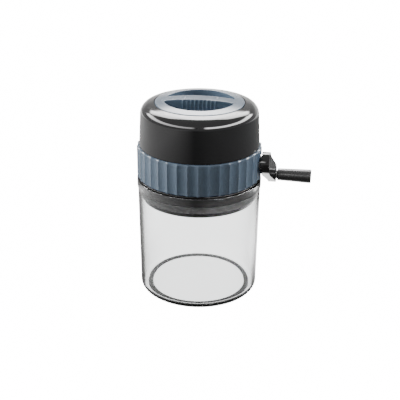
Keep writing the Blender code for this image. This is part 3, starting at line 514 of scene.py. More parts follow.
class Bench:
    """Blender's modelling operators, used as by hand on one new piece at a time."""

    @staticmethod
    def clear() -> None:
        """Leave edit mode's selection behind and deselect every object."""
        for obj in bpy.context.selected_objects:
            obj.select_set(False)

    @staticmethod
    def settle() -> None:
        """Keep the active piece's place, turn and scale in its mesh."""
        bpy.ops.object.transform_apply(location=True, rotation=True, scale=True)

    @staticmethod
    def extrude(x: float, y: float, z: float) -> None:
        """Extrude what is selected along a shift."""
        bpy.ops.mesh.extrude_region_move(TRANSFORM_OT_translate={"value": (x, y, z)})

    @staticmethod
    def pick(*objects: Piece) -> None:
        """Select only these objects and make the first one active."""
        Bench.clear()
        for obj in objects:
            obj.select_set(True)
        bpy.context.view_layer.objects.active = objects[0]

    @staticmethod
    def edit(obj: Piece, kind: str = "VERT") -> None:
        """Open a piece in edit mode with all of it selected."""
        Bench.pick(obj)
        bpy.ops.object.mode_set(mode="EDIT")
        bpy.ops.mesh.select_mode(type=kind)
        bpy.ops.mesh.select_all(action="SELECT")

    @staticmethod
    def done() -> None:
        """Merge doubles, point the faces outwards and leave edit mode."""
        bpy.ops.mesh.select_all(action="SELECT")
        bpy.ops.mesh.remove_doubles(threshold=WELD)
        bpy.ops.mesh.normals_make_consistent(inside=False)
        bpy.ops.object.mode_set(mode="OBJECT")

    @staticmethod
    def point(name: str, at: Triple) -> Piece:
        """A piece that starts as one vertex, from which a profile is extruded."""
        Bench.clear()
        bpy.ops.mesh.primitive_plane_add(size=MM, location=at)
        obj = bpy.context.object
        obj.name = obj.data.name = name
        Bench.settle()
        Bench.edit(obj)
        bpy.ops.mesh.merge(type="CENTER")
        return obj

    @staticmethod
    def turned(name: str, corners: list[Corner], steps: int = FINE_STEPS, closed: bool = True) -> Piece:
        """Round a profile and spin it about the vertical axis.

        Args:
            name: the piece's name.
            corners: (radius, height, rounding) of the profile's corners.
            steps: sides of the full turn.
            closed: whether the profile is a loop; an open one starts and ends on the axis.

        Returns:
            The closed turned piece.
        """
        profile = rounded(corners, closed)
        obj = Bench.point(name, (profile[0][0], 0.0, profile[0][1]))
        path = profile + ([profile[0]] if closed else [])
        for (r0, z0), (r1, z1) in zip(path, path[1:]):
            Bench.extrude(r1 - r0, 0.0, z1 - z0)
        bpy.ops.mesh.select_all(action="SELECT")
        bpy.ops.mesh.spin(steps=steps, angle=math.tau, center=(0, 0, 0), axis=(0, 0, 1))
        Bench.done()
        return obj

    @staticmethod
    def moved(obj: Piece, matrix: Matrix) -> Piece:
        """Put a piece in its place and keep the place in its mesh."""
        obj.matrix_world = matrix @ obj.matrix_world
        Bench.pick(obj)
        Bench.settle()
        return obj

    @staticmethod
    def boolean(obj: Piece, other: Piece, operation: str = "DIFFERENCE") -> Piece:
        """Cut or join a piece with another one, which is used up.

        Args:
            obj: the piece that stays.
            other: the cutter or the piece to join.
            operation: DIFFERENCE, UNION or INTERSECT.

        Returns:
            The changed piece.
        """
        modifier = obj.modifiers.new("shape", "BOOLEAN")
        modifier.object, modifier.operation, modifier.solver = other, operation, "EXACT"
        Bench.pick(obj)
        bpy.ops.object.modifier_apply(modifier=modifier.name)
        bpy.data.objects.remove(other, do_unlink=True)
        return obj

    @staticmethod
    def bevelled(obj: Piece, width: float, segments: int = 3, angle: float = 40.0) -> Piece:
        """Round a piece's sharp edges.

        Args:
            obj: the piece.
            width: width of the rounding.
            segments: facets across it.
            angle: edges sharper than this many degrees are rounded.

        Returns:
            The same piece.
        """
        modifier = obj.modifiers.new("edges", "BEVEL")
        modifier.width, modifier.segments = width, segments
        modifier.limit_method, modifier.angle_limit = "ANGLE", math.radians(angle)
        modifier.use_clamp_overlap = True
        Bench.pick(obj)
        bpy.ops.object.modifier_apply(modifier=modifier.name)
        return obj

    @staticmethod
    def cylinder(radius: float, depth: float, at: tuple, axis: str = "Z", sides: int = MEDIUM_STEPS) -> Piece:
        """A round cutter along one axis, centred on a point."""
        Bench.clear()
        turn = (0, math.pi / 2, 0) if axis == "X" else (0, 0, 0)
        size = {"vertices": sides, "radius": radius, "depth": depth}
        bpy.ops.mesh.primitive_cylinder_add(**size, location=at, rotation=turn)
        Bench.settle()
        return bpy.context.object

    @staticmethod
    def block(low: Triple, high: Triple) -> Piece:
        """A box between two corners, as a start or a cutter."""
        Bench.clear()
        bpy.ops.mesh.primitive_cube_add(size=1.0, location=[(a + b) / 2 for a, b in zip(low, high)])
        obj = bpy.context.object
        obj.scale = [b - a for a, b in zip(low, high)]
        Bench.settle()
        return obj


def finished(obj: Piece, body: Body, slot: Slot, finish: Finish, *nodes: str) -> None:
    """Dress a piece and hand it to the frame.

    Args:
        obj: the piece, with its place in its mesh.
        body: the body it rides on.
        slot: the record's slot; not used.
        finish: its finish.
        nodes: the CAD nodes it stands for.
    """
    Bench.pick(obj)
    bpy.ops.object.shade_smooth_by_angle(angle=SMOOTH_ANGLE)
    obj.data.materials.clear()
    obj.data.materials.append(finish.material())
    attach(obj, body.value)
    if nodes:
        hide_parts(*nodes)
    LOG.info("%-16s rides on %-7s %6d faces", obj.name, body.value, len(obj.data.polygons))


def along_x(obj: Piece, z: float, y: float = 0.0) -> Piece:
    """Lay a piece turned about the vertical along +X, on an axis at height z."""
    return Bench.moved(obj, Matrix.Translation((0, y, z)) @ Matrix.Rotation(math.pi / 2, 4, "Y"))


# ---- Jar ------------------------------------------------------------------------------------------


@dataclass
class Jar:
    """Clear jar under the head, and the ring that keeps it from sliding."""

    rim_height: float = 7.7 * MM
    neck_height: float = 4.0 * MM
    rim_step: float = 0.8 * MM
    taper: float = 1.5 * MM
    wall: float = 2.4 * MM
    floor: float = 4.0 * MM
    corner: float = 6.0 * MM
    draft: float = 0.05 * MM
    rim_rounding: float = 0.9 * MM
    neck_rounding: float = 3.0 * MM
    foot_width: float = 4.5 * MM
    foot_edge: float = 0.7 * MM
    gap: float = 0.3 * MM

    def build(self) -> None:
        """Model and dress the jar and its foot ring."""
        low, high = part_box("container")
        foot_low, foot_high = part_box("foot_ring")
        rim_r, neck_r = high.x, high.x - self.rim_step
        wall_r = neck_r - self.taper
        foot_r = foot_high.x
        inner = self.corner - self.wall
        corners = [
            (0.0, low.z + self.floor, 0.0),
            (wall_r - self.wall + self.draft, low.z + self.floor, inner),
            (neck_r - self.wall + 2 * self.draft, high.z, SOFT_EDGE),
            (rim_r, high.z, self.rim_rounding),
            (rim_r, high.z - self.rim_height, self.rim_rounding),
            (neck_r, high.z - self.rim_height - self.neck_height, self.neck_rounding),
            (wall_r, low.z, self.corner),
            (foot_r + self.gap, low.z, 0.25 * MM),
            (foot_r + self.gap, foot_high.z + self.gap, CRISP_EDGE),
            (foot_r - self.foot_width - self.gap, foot_high.z + self.gap, CRISP_EDGE),
            (foot_r - self.foot_width - self.gap, low.z, 0.25 * MM),
            (0.0, low.z, 0.0),
        ]
        jar = Bench.turned("clear_jar", corners, closed=False)
        finished(jar, Body.JAR, Slot.CLEAR, CLEAR, "container")
        edges = (self.foot_edge, self.foot_edge, CRISP_EDGE, CRISP_EDGE)
        ring = section(foot_r - self.foot_width, foot_r, foot_low.z, foot_high.z, *edges)
        foot = Bench.turned("jar_foot_ring", ring)
        finished(foot, Body.JAR, Slot.RUBBER, RUBBER, "foot_ring")


# ---- Head -----------------------------------------------------------------------------------------


@dataclass
class Dome:
    """Glossy casing of the head with its feed mouth."""

    taper: float = 1.9 * MM
    tilt: float = 12.0
    shoulder: float = 10.5 * MM
    wall: float = 2.5 * MM
    skirt_r: float = 59.0 * MM
    seat_r: float = 45.2 * MM
    seat_depth: float = 2.8 * MM
    mouth_r: float = 41.2 * MM
    gap: float = 0.3 * MM

    def build(self) -> None:
        """Model and dress the casing, with the two bearing holes behind the ring."""
        low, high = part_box("housing")
        step_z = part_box("grip_ring")[1].z + self.gap
        top_r = high.x - self.taper
        seat_z = high.z - self.seat_depth
        roof_z = seat_z - self.wall
        corners = [
            (self.skirt_r - self.wall, low.z, CRISP_EDGE),
            (self.skirt_r, low.z, WORN_EDGE),
            (self.skirt_r, step_z, 0.0),
            (high.x, step_z, SOFT_EDGE),
            (top_r, high.z - (top_r - self.seat_r) * math.tan(math.radians(self.tilt)), self.shoulder),
            (self.seat_r, high.z, 0.35 * MM),
            (self.seat_r, seat_z, FINE_EDGE),
            (self.mouth_r, seat_z, SOFT_EDGE),
            (self.mouth_r, roof_z, WORN_EDGE),
            (top_r - self.wall, roof_z, self.shoulder - self.wall),
            (high.x - self.wall, step_z + self.wall, SOFT_EDGE),
            (self.skirt_r - self.wall, step_z, SOFT_EDGE),
        ]
        dome = Bench.turned("gloss_dome", corners)
        for bush, side in (("bush_right", 1), ("bush_left", -1)):
            bush_low, bush_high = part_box(bush)
            middle = (bush_low + bush_high) / 2
            radius = (bush_high.y - bush_low.y) / 2 + self.gap
            Bench.boolean(dome, Bench.cylinder(radius, HOLE_DEPTH, (side * self.skirt_r, 0, middle.z), "X"))
        finished(dome, Body.HEAD, Slot.BLACK, BLACK, "housing")


@dataclass
class GripRing:
    """Fluted ring that one hand holds while the other turns the crank."""

    flutes: int = 38
    points: int = 12
    depth: float = 1.2 * MM
    flute_shape: float = 0.75
    edge: float = 0.9 * MM
    ease: float = 0.35 * MM
    crest: float = 0.05 * MM
    crest_share: float = 0.93
    wall: float = 3.7 * MM
    turn: float = -1.0
    hole: float = 8.5 * MM

    def rows(self, low: float, high: float, outer: float) -> list[Triple]:
        """(height, radius, share of flute depth) of each row from the bore's foot round to its top."""
        full, bevel = self.edge + self.ease, self.edge * self.crest_share
        half = [(0.0, self.wall, 0.0), (0.0, full, 1.0), (self.crest, bevel, 1.0),
                (bevel, self.crest, 1.0), (full, 0.0, 1.0)]
        lower = [(low + rise, outer - inset, share) for rise, inset, share in half]
        return lower + [(high - rise, outer - inset, share) for rise, inset, share in reversed(half)]

    def build(self) -> None:
        """Model and dress the ring."""
        low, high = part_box("grip_ring")
        outer = high.x
        count = self.flutes * self.points
        rows = self.rows(low.z, high.z, outer)
        Bench.clear()
        bpy.ops.mesh.primitive_circle_add(vertices=count, radius=rows[0][1], location=(0, 0, rows[0][0]))
        ring = bpy.context.object
        ring.name = ring.data.name = "fluted_grip_ring"
        Bench.settle()
        Bench.edit(ring)
        for (z0, r0, _), (z1, r1, _) in zip(rows, rows[1:]):
            Bench.extrude(0.0, 0.0, z1 - z0)
            bpy.ops.transform.resize(value=(r1 / r0, r1 / r0, 1.0), center_override=(0, 0, 0))
        bpy.ops.mesh.select_all(action="SELECT")
        bpy.ops.object.mode_set(mode="OBJECT")
        self.flute(ring, rows)
        Bench.edit(ring, "EDGE")
        bpy.ops.mesh.select_all(action="DESELECT")
        bpy.ops.mesh.select_non_manifold()
        bpy.ops.mesh.bridge_edge_loops()
        Bench.done()
        axle_z = (low.z + high.z) / 2
        Bench.boolean(ring, Bench.cylinder(self.hole, HOLE_DEPTH, (outer - self.wall / 2, 0, axle_z), "X"))
        finished(ring, Body.HEAD, Slot.SLATE, SLATE, "grip_ring")

    def flute(self, ring: Piece, rows: list[Triple]) -> None:
        """Draw the columns between the ridges inwards, one phase of the flute at a time."""
        columns = self.flutes * self.points
        start = -math.pi / 2 + math.radians(self.turn)
        fluted = [(z, r) for z, r, share in rows if share]
        for vert in ring.data.vertices:
            angle = math.atan2(vert.co.y, vert.co.x)
            radius = math.hypot(vert.co.x, vert.co.y)
            step = round(angle / math.tau * columns)
            share = (step % self.points) / self.points
            if any(abs(vert.co.z - z) < NEAR and abs(radius - r) < NEAR for z, r in fluted):
                radius -= self.depth * math.sin(math.pi * share) ** self.flute_shape
            turned = math.tau * step / columns + start
            vert.co.x, vert.co.y = radius * math.cos(turned), radius * math.sin(turned)


@dataclass
class Collar:
    """Plug under the head that stands in the jar's mouth, and its lipped seal."""

    gap: float = 0.3 * MM
    lips: int = 3
    lip_depth: float = 0.35 * MM
    lip_edge: float = 0.15 * MM
    lip_span: Point = (0.22, 0.8)
    end_step: float = 0.2 * MM
    rib_width: float = 1.8 * MM
    rib_root: float = 0.2 * MM
    rib_inset: float = 0.05 * MM
    rib_foot: float = 0.4 * MM
    rib_head: float = 0.6 * MM
    rib_turn: float = 13.0
    plug_inset: float = 0.4 * MM
    groove_depth: float = 1.4 * MM
    spigot_r: float = 56.2 * MM
    bore_r: float = 51.5 * MM
    flange_thick: float = 1.2 * MM
    wall: float = 3.2 * MM
    tip_step: float = 2.0 * MM
    tip_width: float = 1.6 * MM

    def build(self) -> None:
        """Model and dress the collar, its seal and the rib that locates it."""
        low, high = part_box("collar")
        seal_low, seal_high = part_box("collar_seal")
        plug_r = seal_high.x - self.plug_inset
        groove_r = plug_r - self.groove_depth
        tip_r = plug_r - self.tip_step
        flange_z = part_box("container")[1].z + self.gap
        top_z = flange_z + self.flange_thick
        corners = [
            (self.bore_r, high.z, CRISP_EDGE),
            (self.spigot_r, high.z, SOFT_EDGE),
            (self.spigot_r, top_z, CRISP_EDGE),
            (high.x, top_z, 0.35 * MM),
            (high.x, flange_z, 0.35 * MM),
            (plug_r, flange_z, CRISP_EDGE),
            (plug_r, seal_high.z + self.gap, 0.25 * MM),
            (groove_r, seal_high.z + self.gap, FINE_EDGE),
            (groove_r, seal_low.z - self.gap, FINE_EDGE),
            (plug_r - self.gap, seal_low.z - self.gap, CRISP_EDGE),
            (tip_r, low.z, SOFT_EDGE),
            (tip_r - self.tip_width, low.z, WORN_EDGE),
            (groove_r - self.wall, seal_low.z, ROUND_EDGE),
            (groove_r - self.wall, seal_high.z + self.wall, ROUND_EDGE),
            (self.bore_r, top_z, ROUND_EDGE),
        ]
        collar = Bench.turned("jar_mouth_collar", corners)
        finished(collar, Body.HEAD, Slot.BLACK, BLACK, "collar")
        finished(self.seal(seal_low, seal_high, groove_r), Body.HEAD, Slot.SILICONE, SILICONE, "collar_seal")

    def seal(self, low: Vector, high: Vector, groove_r: float) -> Piece:
        """Band with rounded lips and a locating rib.

        Args:
            low: lowest corner of the seal's box.
            high: highest corner of the seal's box.
            groove_r: radius of the groove it lies in.

        Returns:
            The seal.
        """
        outer, inner = high.x, groove_r + self.gap
        height = (high.z - low.z) / self.lips
        corners = [(inner, high.z, FINE_EDGE), (inner, low.z, FINE_EDGE)]
        for lip in range(self.lips):
            base = low.z + lip * height
            if lip:
                corners.append((outer - self.lip_depth, base, self.lip_edge))
            corners += [(outer, base + share * height, SOFT_EDGE) for share in self.lip_span]
        corners[2] = (outer - self.end_step, low.z, CRISP_EDGE)
        corners[-1] = (outer - self.end_step, high.z, WORN_EDGE)
        seal = Bench.turned("lipped_seal", corners)
        rib = Bench.block((inner + self.rib_root, -self.rib_width / 2, low.z + self.rib_foot),
                          (outer - self.rib_inset, self.rib_width / 2, high.z - self.rib_head))
        Bench.bevelled(rib, self.lip_edge, 2)
        Bench.moved(rib, Matrix.Rotation(math.radians(self.rib_turn - 90), 4, "Z"))
        return Bench.boolean(seal, rib, "UNION")


# ---- Lid ------------------------------------------------------------------------------------------


@dataclass
class Lid:
    """Crowned lid with two finger wells beside a ribbed grip bar."""

    rise: float = 4.3 * MM
    edge_height: float = 2.8 * MM
    plug_step: float = 3.8 * MM
    well_r: float = 34.8 * MM
    well_depth: float = 9.0 * MM
    bar_width: float = 14.0 * MM
    bar_overlap: float = 1.2 * MM
    bar_shoulder: float = 1.5 * MM
    bar_foot: float = 1.2 * MM
    bar_root: float = 0.6 * MM
    bar_bend: float = 2.0 * MM
    bar_drop: float = 0.012 * MM
    bar_flare: float = 0.5 * MM
    bar_rounding: float = 0.9 * MM
    bar_stations: int = 36
    ribs: int = 9
    rib_pitch: float = 4.0 * MM
    rib_width: float = 1.4 * MM
    rib_root: float = 0.02 * MM
    rib_short: float = 0.9 * MM
    rib_drop: float = 0.15 * MM
    rib_crown: float = 0.6 * MM
    rib_edge: float = 0.25 * MM
    rib_sides: int = 12
    turn: float = 3.0
    wall: float = 2.4 * MM
    groove_depth: float = 1.4 * MM
    seal_width: float = 1.1 * MM
    crown_steps: int = 10
    gap: float = 0.3 * MM

    def crown(self, radius: float, top: float, outer: float) -> float:
        """Height of the crowned top at a radius."""
        return top - self.rise * (radius / outer) ** 2

    def build(self) -> None:
        """Model and dress the lid, its seal and its grip bar."""
        low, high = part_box("lid")
        outer, top = high.x, high.z
        edge = top - self.rise
        seat = edge - self.edge_height
        plug_r = outer - self.plug_step
        floor = edge - self.well_depth
        seal_low, seal_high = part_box("lid_seal")
        groove_r = plug_r - self.groove_depth
        steps = self.crown_steps
        rings = [self.well_r + (outer - self.well_r) * k / steps for k in range(steps + 1)]
        corners = [(0.0, low.z, 0.0), (plug_r - self.wall, low.z, 0.0), (plug_r, low.z, 0.8 * MM)]
        corners += [
            (plug_r, seal_low.z - self.gap, 0.0),
            (groove_r, seal_low.z - self.gap, 0.0),
            (groove_r, seal_high.z + self.gap, 0.0),
            (plug_r, seal_high.z + self.gap, 0.0),
            (plug_r, seat, CRISP_EDGE),
            (outer, seat, CRISP_EDGE),
            (outer, edge, 0.55 * MM),
        ]
        corners += [(r, self.crown(r, top, outer), 0.0) for r in reversed(rings[1:-1])]
        corners += [
            (self.well_r, self.crown(self.well_r, top, outer), ROUND_EDGE),
            (self.well_r - 0.3 * MM, floor, 1.6 * MM),
            (0.0, floor, 0.0),
        ]
        lid = Bench.turned("crowned_lid", corners, closed=False)
        Bench.boolean(lid, self.bar(top, outer, floor), "UNION")
        Bench.moved(lid, Matrix.Rotation(math.radians(self.turn), 4, "Z"))
        finished(lid, Body.LID, Slot.SLATE, SLATE, "lid")
        edges = (FINE_EDGE, SOFT_EDGE, SOFT_EDGE, FINE_EDGE)
        ring = section(plug_r - self.seal_width, seal_high.x, seal_low.z, seal_high.z, *edges)
        seal = Bench.turned("lid_seal_ring", ring)
        finished(seal, Body.LID, Slot.RUBBER, RUBBER, "lid_seal")

    def bar(self, top: float, outer: float, floor: float) -> Piece:
        """Grip bar across the recess: crowned top, rounded edges, ribs down both sides.

        Args:
            top: height of the lid's crown.
            outer: the lid's radius.
            floor: height of the wells' floor.

        Returns:
            The bar, its ends buried in the lid's wall.
        """
        half_x, half_y = self.well_r + self.bar_overlap, self.bar_width / 2
        foot_y = half_y - self.bar_flare
        right = [
            (half_y, top, self.bar_rounding),
            (half_y, top - self.bar_shoulder, 0.0),
            (foot_y, floor + self.bar_foot, 0.0),
            (foot_y, floor - self.bar_root, 0.0),
        ]
        left = [(-y, z, radius) for y, z, radius in reversed(right)]
        outline = rounded(left + right, True)
        bar = Bench.point("grip_bar", (-half_x, *outline[0]))
        for (y0, z0), (y1, z1) in zip(outline, outline[1:] + outline[:1]):
            Bench.extrude(0.0, y1 - y0, z1 - z0)
        bpy.ops.mesh.select_all(action="SELECT")
        bpy.ops.mesh.remove_doubles(threshold=WELD)
        bpy.ops.mesh.edge_face_add()
        step = 2 * half_x / self.bar_stations
        for _ in range(self.bar_stations):
            Bench.extrude(step, 0.0, 0.0)
        Bench.done()
        bend_z = floor + self.bar_bend
        for vert in bar.data.vertices:
            lift = max(0.0, min(1.0, (vert.co.z - bend_z) / (top - bend_z)))
            radius = math.hypot(vert.co.x, vert.co.y)
            vert.co.z -= lift * (self.rise * (radius / outer) ** 2 + self.bar_drop)
        for k in range(self.ribs):
            x = (k - (self.ribs - 1) / 2) * self.rib_pitch
            z = (top + floor) / 2 - self.rib_drop - self.rib_crown * (x / half_x) ** 2
            for side in (-1, 1):
                place = (x, side * (half_y - self.rib_root), z)
                size = (self.rib_width / 2, top - floor - self.rib_short)
                rib = Bench.cylinder(*size, place, "Z", self.rib_sides)
                Bench.bevelled(rib, self.rib_edge, 2)
                Bench.boolean(bar, rib, "UNION")
        return bar


# ---- Crank and knob -------------------------------------------------------------------------------


@dataclass
class Crank:
    """Flat arm with a round hub, its cap, the shank and the turning knob."""

    length: float = 45.0 * MM
    angle: float = 54.5
    lean: float = 4.0 * MM
    hub_r: float = 11.0 * MM
    end_r: float = 8.3 * MM
    thick: float = 8.0 * MM
    arm_edge: float = 0.9 * MM
    cap_fall: float = 0.25 * MM
    cap_bow: float = 0.05 * MM
    cap_flat: float = 0.55
    cap_rounding: float = 3.0 * MM
    shank_r: float = 6.5 * MM
    knob_start_r: float = 6.3 * MM
    knob_end_r: float = 7.25 * MM
    knob_bore: float = 2.6 * MM
    head_recess_r: float = 4.5 * MM
    head_recess: float = 2.2 * MM
    socket_side: float = 7.6 * MM
    socket_depth: float = 8.5 * MM
    gap: float = 0.3 * MM
    arc_steps: int = 22
    flank_steps: int = 10
    first_angle: float = 4.0

    def build(self) -> None:
        """Model and dress the arm, hub cap, knob and end cap."""
        arm_low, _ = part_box("crank_arm")
        cap_low, cap_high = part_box("hub_cap")
        axle_z = (cap_low.z + cap_high.z) / 2
        outer_x = cap_high.x
        arm = self.arm(outer_x - self.thick, outer_x)
        profile = section(0.0, self.shank_r, arm_low.x, outer_x - self.thick / 2, 0.0, 0.0, 0.0, 0.0)
        shank = along_x(Bench.turned("shank", profile, MEDIUM_STEPS, closed=False), 0.0)
        Bench.bevelled(shank, CRISP_EDGE, 2)
        Bench.boolean(arm, shank, "UNION")
        seat_x = cap_low.x - self.gap + self.thick / 4
        Bench.boolean(arm, Bench.cylinder(cap_high.y + self.gap, self.thick / 2, (seat_x, 0, 0), "X"))
        socket = self.socket_side / 2
        near, far = arm_low.x - MM, arm_low.x + self.socket_depth
        Bench.boolean(arm, Bench.block((near, -socket, -socket), (far, socket, socket)))
        down, back = math.cos(math.radians(self.angle)), math.sin(math.radians(self.angle))
        frame_turn = Matrix(((1, 0, 0, 0), (0, back, down, 0), (0, -down, back, 0), (0, 0, 0, 1)))
        place = Matrix.Translation((0, 0, axle_z)) @ frame_turn
        Bench.moved(arm, place)
        Bench.edit(arm)
        Bench.done()
        finished(arm, Body.ROLLER, Slot.BLACK, BLACK, "crank_arm")
        corners = [
            (0.0, cap_low.x, 0.0),
            (cap_high.y, cap_low.x, THIN_EDGE),
            (cap_high.y, cap_high.x - self.cap_fall, WORN_EDGE),
            (cap_high.y * self.cap_flat, cap_high.x - self.cap_bow, self.cap_rounding),
            (0.0, cap_high.x, 0.0),
        ]
        cap = along_x(Bench.turned("crank_hub_cap", corners, MEDIUM_STEPS, closed=False), axle_z)
        finished(cap, Body.ROLLER, Slot.BLACK, BLACK, "hub_cap")
        self.knob()

    def arm(self, near: float, far: float) -> Piece:
        """Arm lying along +Y from a hub on the axis, its thickness along X.

        Args:
            near: x of the hub's inner face.
            far: x of the hub's outer face.

        Returns:
            The arm before it is turned into place.
        """
        flank = math.asin((self.hub_r - self.end_r) / self.length)
        first = math.radians(self.first_angle)
        side = math.pi / 2 - flank
        steps = self.arc_steps

        def arc(centre: float, radius: float, start: float, end: float) -> list[Point]:
            """Half outline of a round end, from one angle to another."""
            turns = [start + (end - start) * k / steps for k in range(steps + 1)]
            return [(centre + radius * math.cos(a), radius * math.sin(a)) for a in turns]

        hub = arc(0.0, self.hub_r, math.pi - first, side)
        tip = arc(self.length, self.end_r, side, first)
        start, end, parts = Vector(hub[-1]), Vector(tip[0]), self.flank_steps
        stations = hub + [tuple(start.lerp(end, k / parts)) for k in range(1, parts)] + tip
        middle = (near + far) / 2
        Bench.clear()
        start = (middle, stations[0][0], 0)
        bpy.ops.mesh.primitive_plane_add(size=1.0, location=start, rotation=(math.pi / 2, 0, 0))
        arm = bpy.context.object
        arm.name = arm.data.name = "crank_lever"
        arm.scale = (far - near, 2 * stations[0][1], 1.0)
        Bench.settle()
        Bench.edit(arm, "FACE")
        for (u0, w0), (u1, w1) in zip(stations, stations[1:]):
            Bench.extrude(self.set_out(u1) - self.set_out(u0), u1 - u0, 0.0)
            bpy.ops.transform.resize(value=(1.0, 1.0, w1 / w0), center_override=(0, u1, 0))
        Bench.done()
        return Bench.bevelled(arm, self.arm_edge, 4, 50)

    def set_out(self, u: float) -> float:
        """Outward set of the arm at a distance from the axle: none at the hub, all of it at the tip."""
        start, end = self.hub_r, self.length - self.end_r
        return self.lean * min(max((u - start) / (end - start), 0.0), 1.0)

    def knob(self) -> None:
        """Model and dress the turning knob and the cap in its end."""
        low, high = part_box("knob")
        cap_low, cap_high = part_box("knob_cap")
        y, z = (low.y + high.y) / 2, (low.z + high.z) / 2
        cap_r = (cap_high.y - cap_low.y) / 2
        corners = [
            (self.knob_bore, low.x, 0.0),
            (self.knob_start_r, low.x, 0.7 * MM),
            (self.knob_end_r, high.x, 1.0 * MM),
            (cap_r + self.gap, high.x, 0.25 * MM),
            (cap_r + self.gap, cap_low.x - self.gap, 0.0),
            (self.head_recess_r, cap_low.x - self.gap, 0.0),
            (self.head_recess_r, cap_low.x - self.head_recess, 0.0),
            (self.knob_bore, cap_low.x - self.head_recess, 0.0),
        ]
        knob = along_x(Bench.turned("turning_knob", corners, MEDIUM_STEPS), z, y)
        finished(knob, Body.KNOB, Slot.BLACK, SATIN, "knob")
        corners = section(0.0, cap_r, cap_low.x, cap_high.x, 0.0, THIN_EDGE, WORN_EDGE, 0.0)
        cap = along_x(Bench.turned("knob_end_cap", corners, MEDIUM_STEPS, closed=False), z, y)
        finished(cap, Body.KNOB, Slot.BLACK, SATIN, "knob_cap")


# ---- Carried-over pieces --------------------------------------------------------------------------


@dataclass
class Inside:
    """Pieces inside the head, which keep their own shape and get their finish here."""

    finishes: dict[str, Finish] = field(default_factory=lambda: {
        "hopper": DARK, "comb": STEEL, "roller_shaft": STEEL, "shaft_clip": STEEL, "cutter_disc": STEEL,
        "disc_spacer": NYLON, "bush": NYLON, "crank_screw": STEEL, "knob_pin": STEEL, "knob_washer": DARK})

    def build(self) -> None:
        """Give every carried-over node its finish."""
        for name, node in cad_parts.items():
            if node.hide_render:
                continue
            for start, finish in self.finishes.items():
                if name.startswith(start):
                    for slot in node.material_slots:
                        slot.material = finish.material()


# ---- Studio ---------------------------------------------------------------------------------------


def polar(azimuth: float, elevation: float, distance: float) -> Triple:
    """A point seen from the middle of the object.

    Args:
        azimuth: degrees from the camera's side, positive to its right.
        elevation: degrees above the table.
        distance: metres from the middle of the object.

    Returns:
        The point in the frame.
    """
    a, e = math.radians(azimuth + CAMERA_TURN), math.radians(elevation)
    flat = distance * math.cos(e)
    return (flat * math.sin(a), -flat * math.cos(a), AIM_HEIGHT + distance * math.sin(e))


@dataclass
class Softbox:
    """A curved panel of light round the object that fades towards its edges.

    The pairs are values at the panel's two ends: azimuths, elevations of its lower and upper
    edge, and radiances.
    """

    name: str
    azimuth: tuple[float, float]
    low: tuple[float, float]
    high: tuple[float, float]
    radiance: tuple[float, float]
    fade: tuple[float, float] = (0.2, 0.3)
    colour: Triple = (1.0, 1.0, 1.0)
    glossy: bool = True
    distance: float = 1.2

    def build(self) -> None:
        """Add the panel as a curved grid, hidden from the camera."""
        Bench.clear()
        bpy.ops.mesh.primitive_grid_add(x_subdivisions=32, y_subdivisions=6, size=1.0)
        panel = bpy.context.object
        panel.name = panel.data.name = self.name
        for vert in panel.data.vertices:
            along, across = vert.co.x + 0.5, vert.co.y + 0.5
            azimuth, low, high = (a + (b - a) * along for a, b in (self.azimuth, self.low, self.high))
            vert.co = polar(azimuth, low + (high - low) * across, self.distance)
        panel.data.materials.append(self.material())
        panel.visible_camera = panel.visible_transmission = panel.visible_shadow = False
        panel.visible_glossy = self.glossy
        panel.visible_diffuse = not self.glossy

    def material(self) -> Material:
        """Glow that runs from one end's radiance to the other's and fades at the edges."""
        made = bpy.data.materials.new(self.name)
        made.use_nodes = True
        nodes = Nodes(made.node_tree)
        made.node_tree.nodes.remove(made.node_tree.nodes["Principled BSDF"])
        split = nodes.add("SeparateXYZ", {0: nodes.add("TexCoord").outputs["UV"]})
        strength = nodes.span(split.outputs[0], 0.0, 1.0, *self.radiance)
        for side in range(2):
            reach = nodes.maths("ABSOLUTE", nodes.maths("SUBTRACT", split.outputs[side], 0.5))
            fall = nodes.span(reach, 0.5 - self.fade[side], 0.5, 1.0, 0.0)
            fall.node.interpolation_type = "SMOOTHSTEP"
            strength = nodes.maths("MULTIPLY", strength, fall)
        light = nodes.add("Emission", {"Color": (*self.colour, 1.0), "Strength": strength})
        nodes.tree.links.new(light.outputs[0], nodes.tree.nodes["Material Output"].inputs[0])
        return made


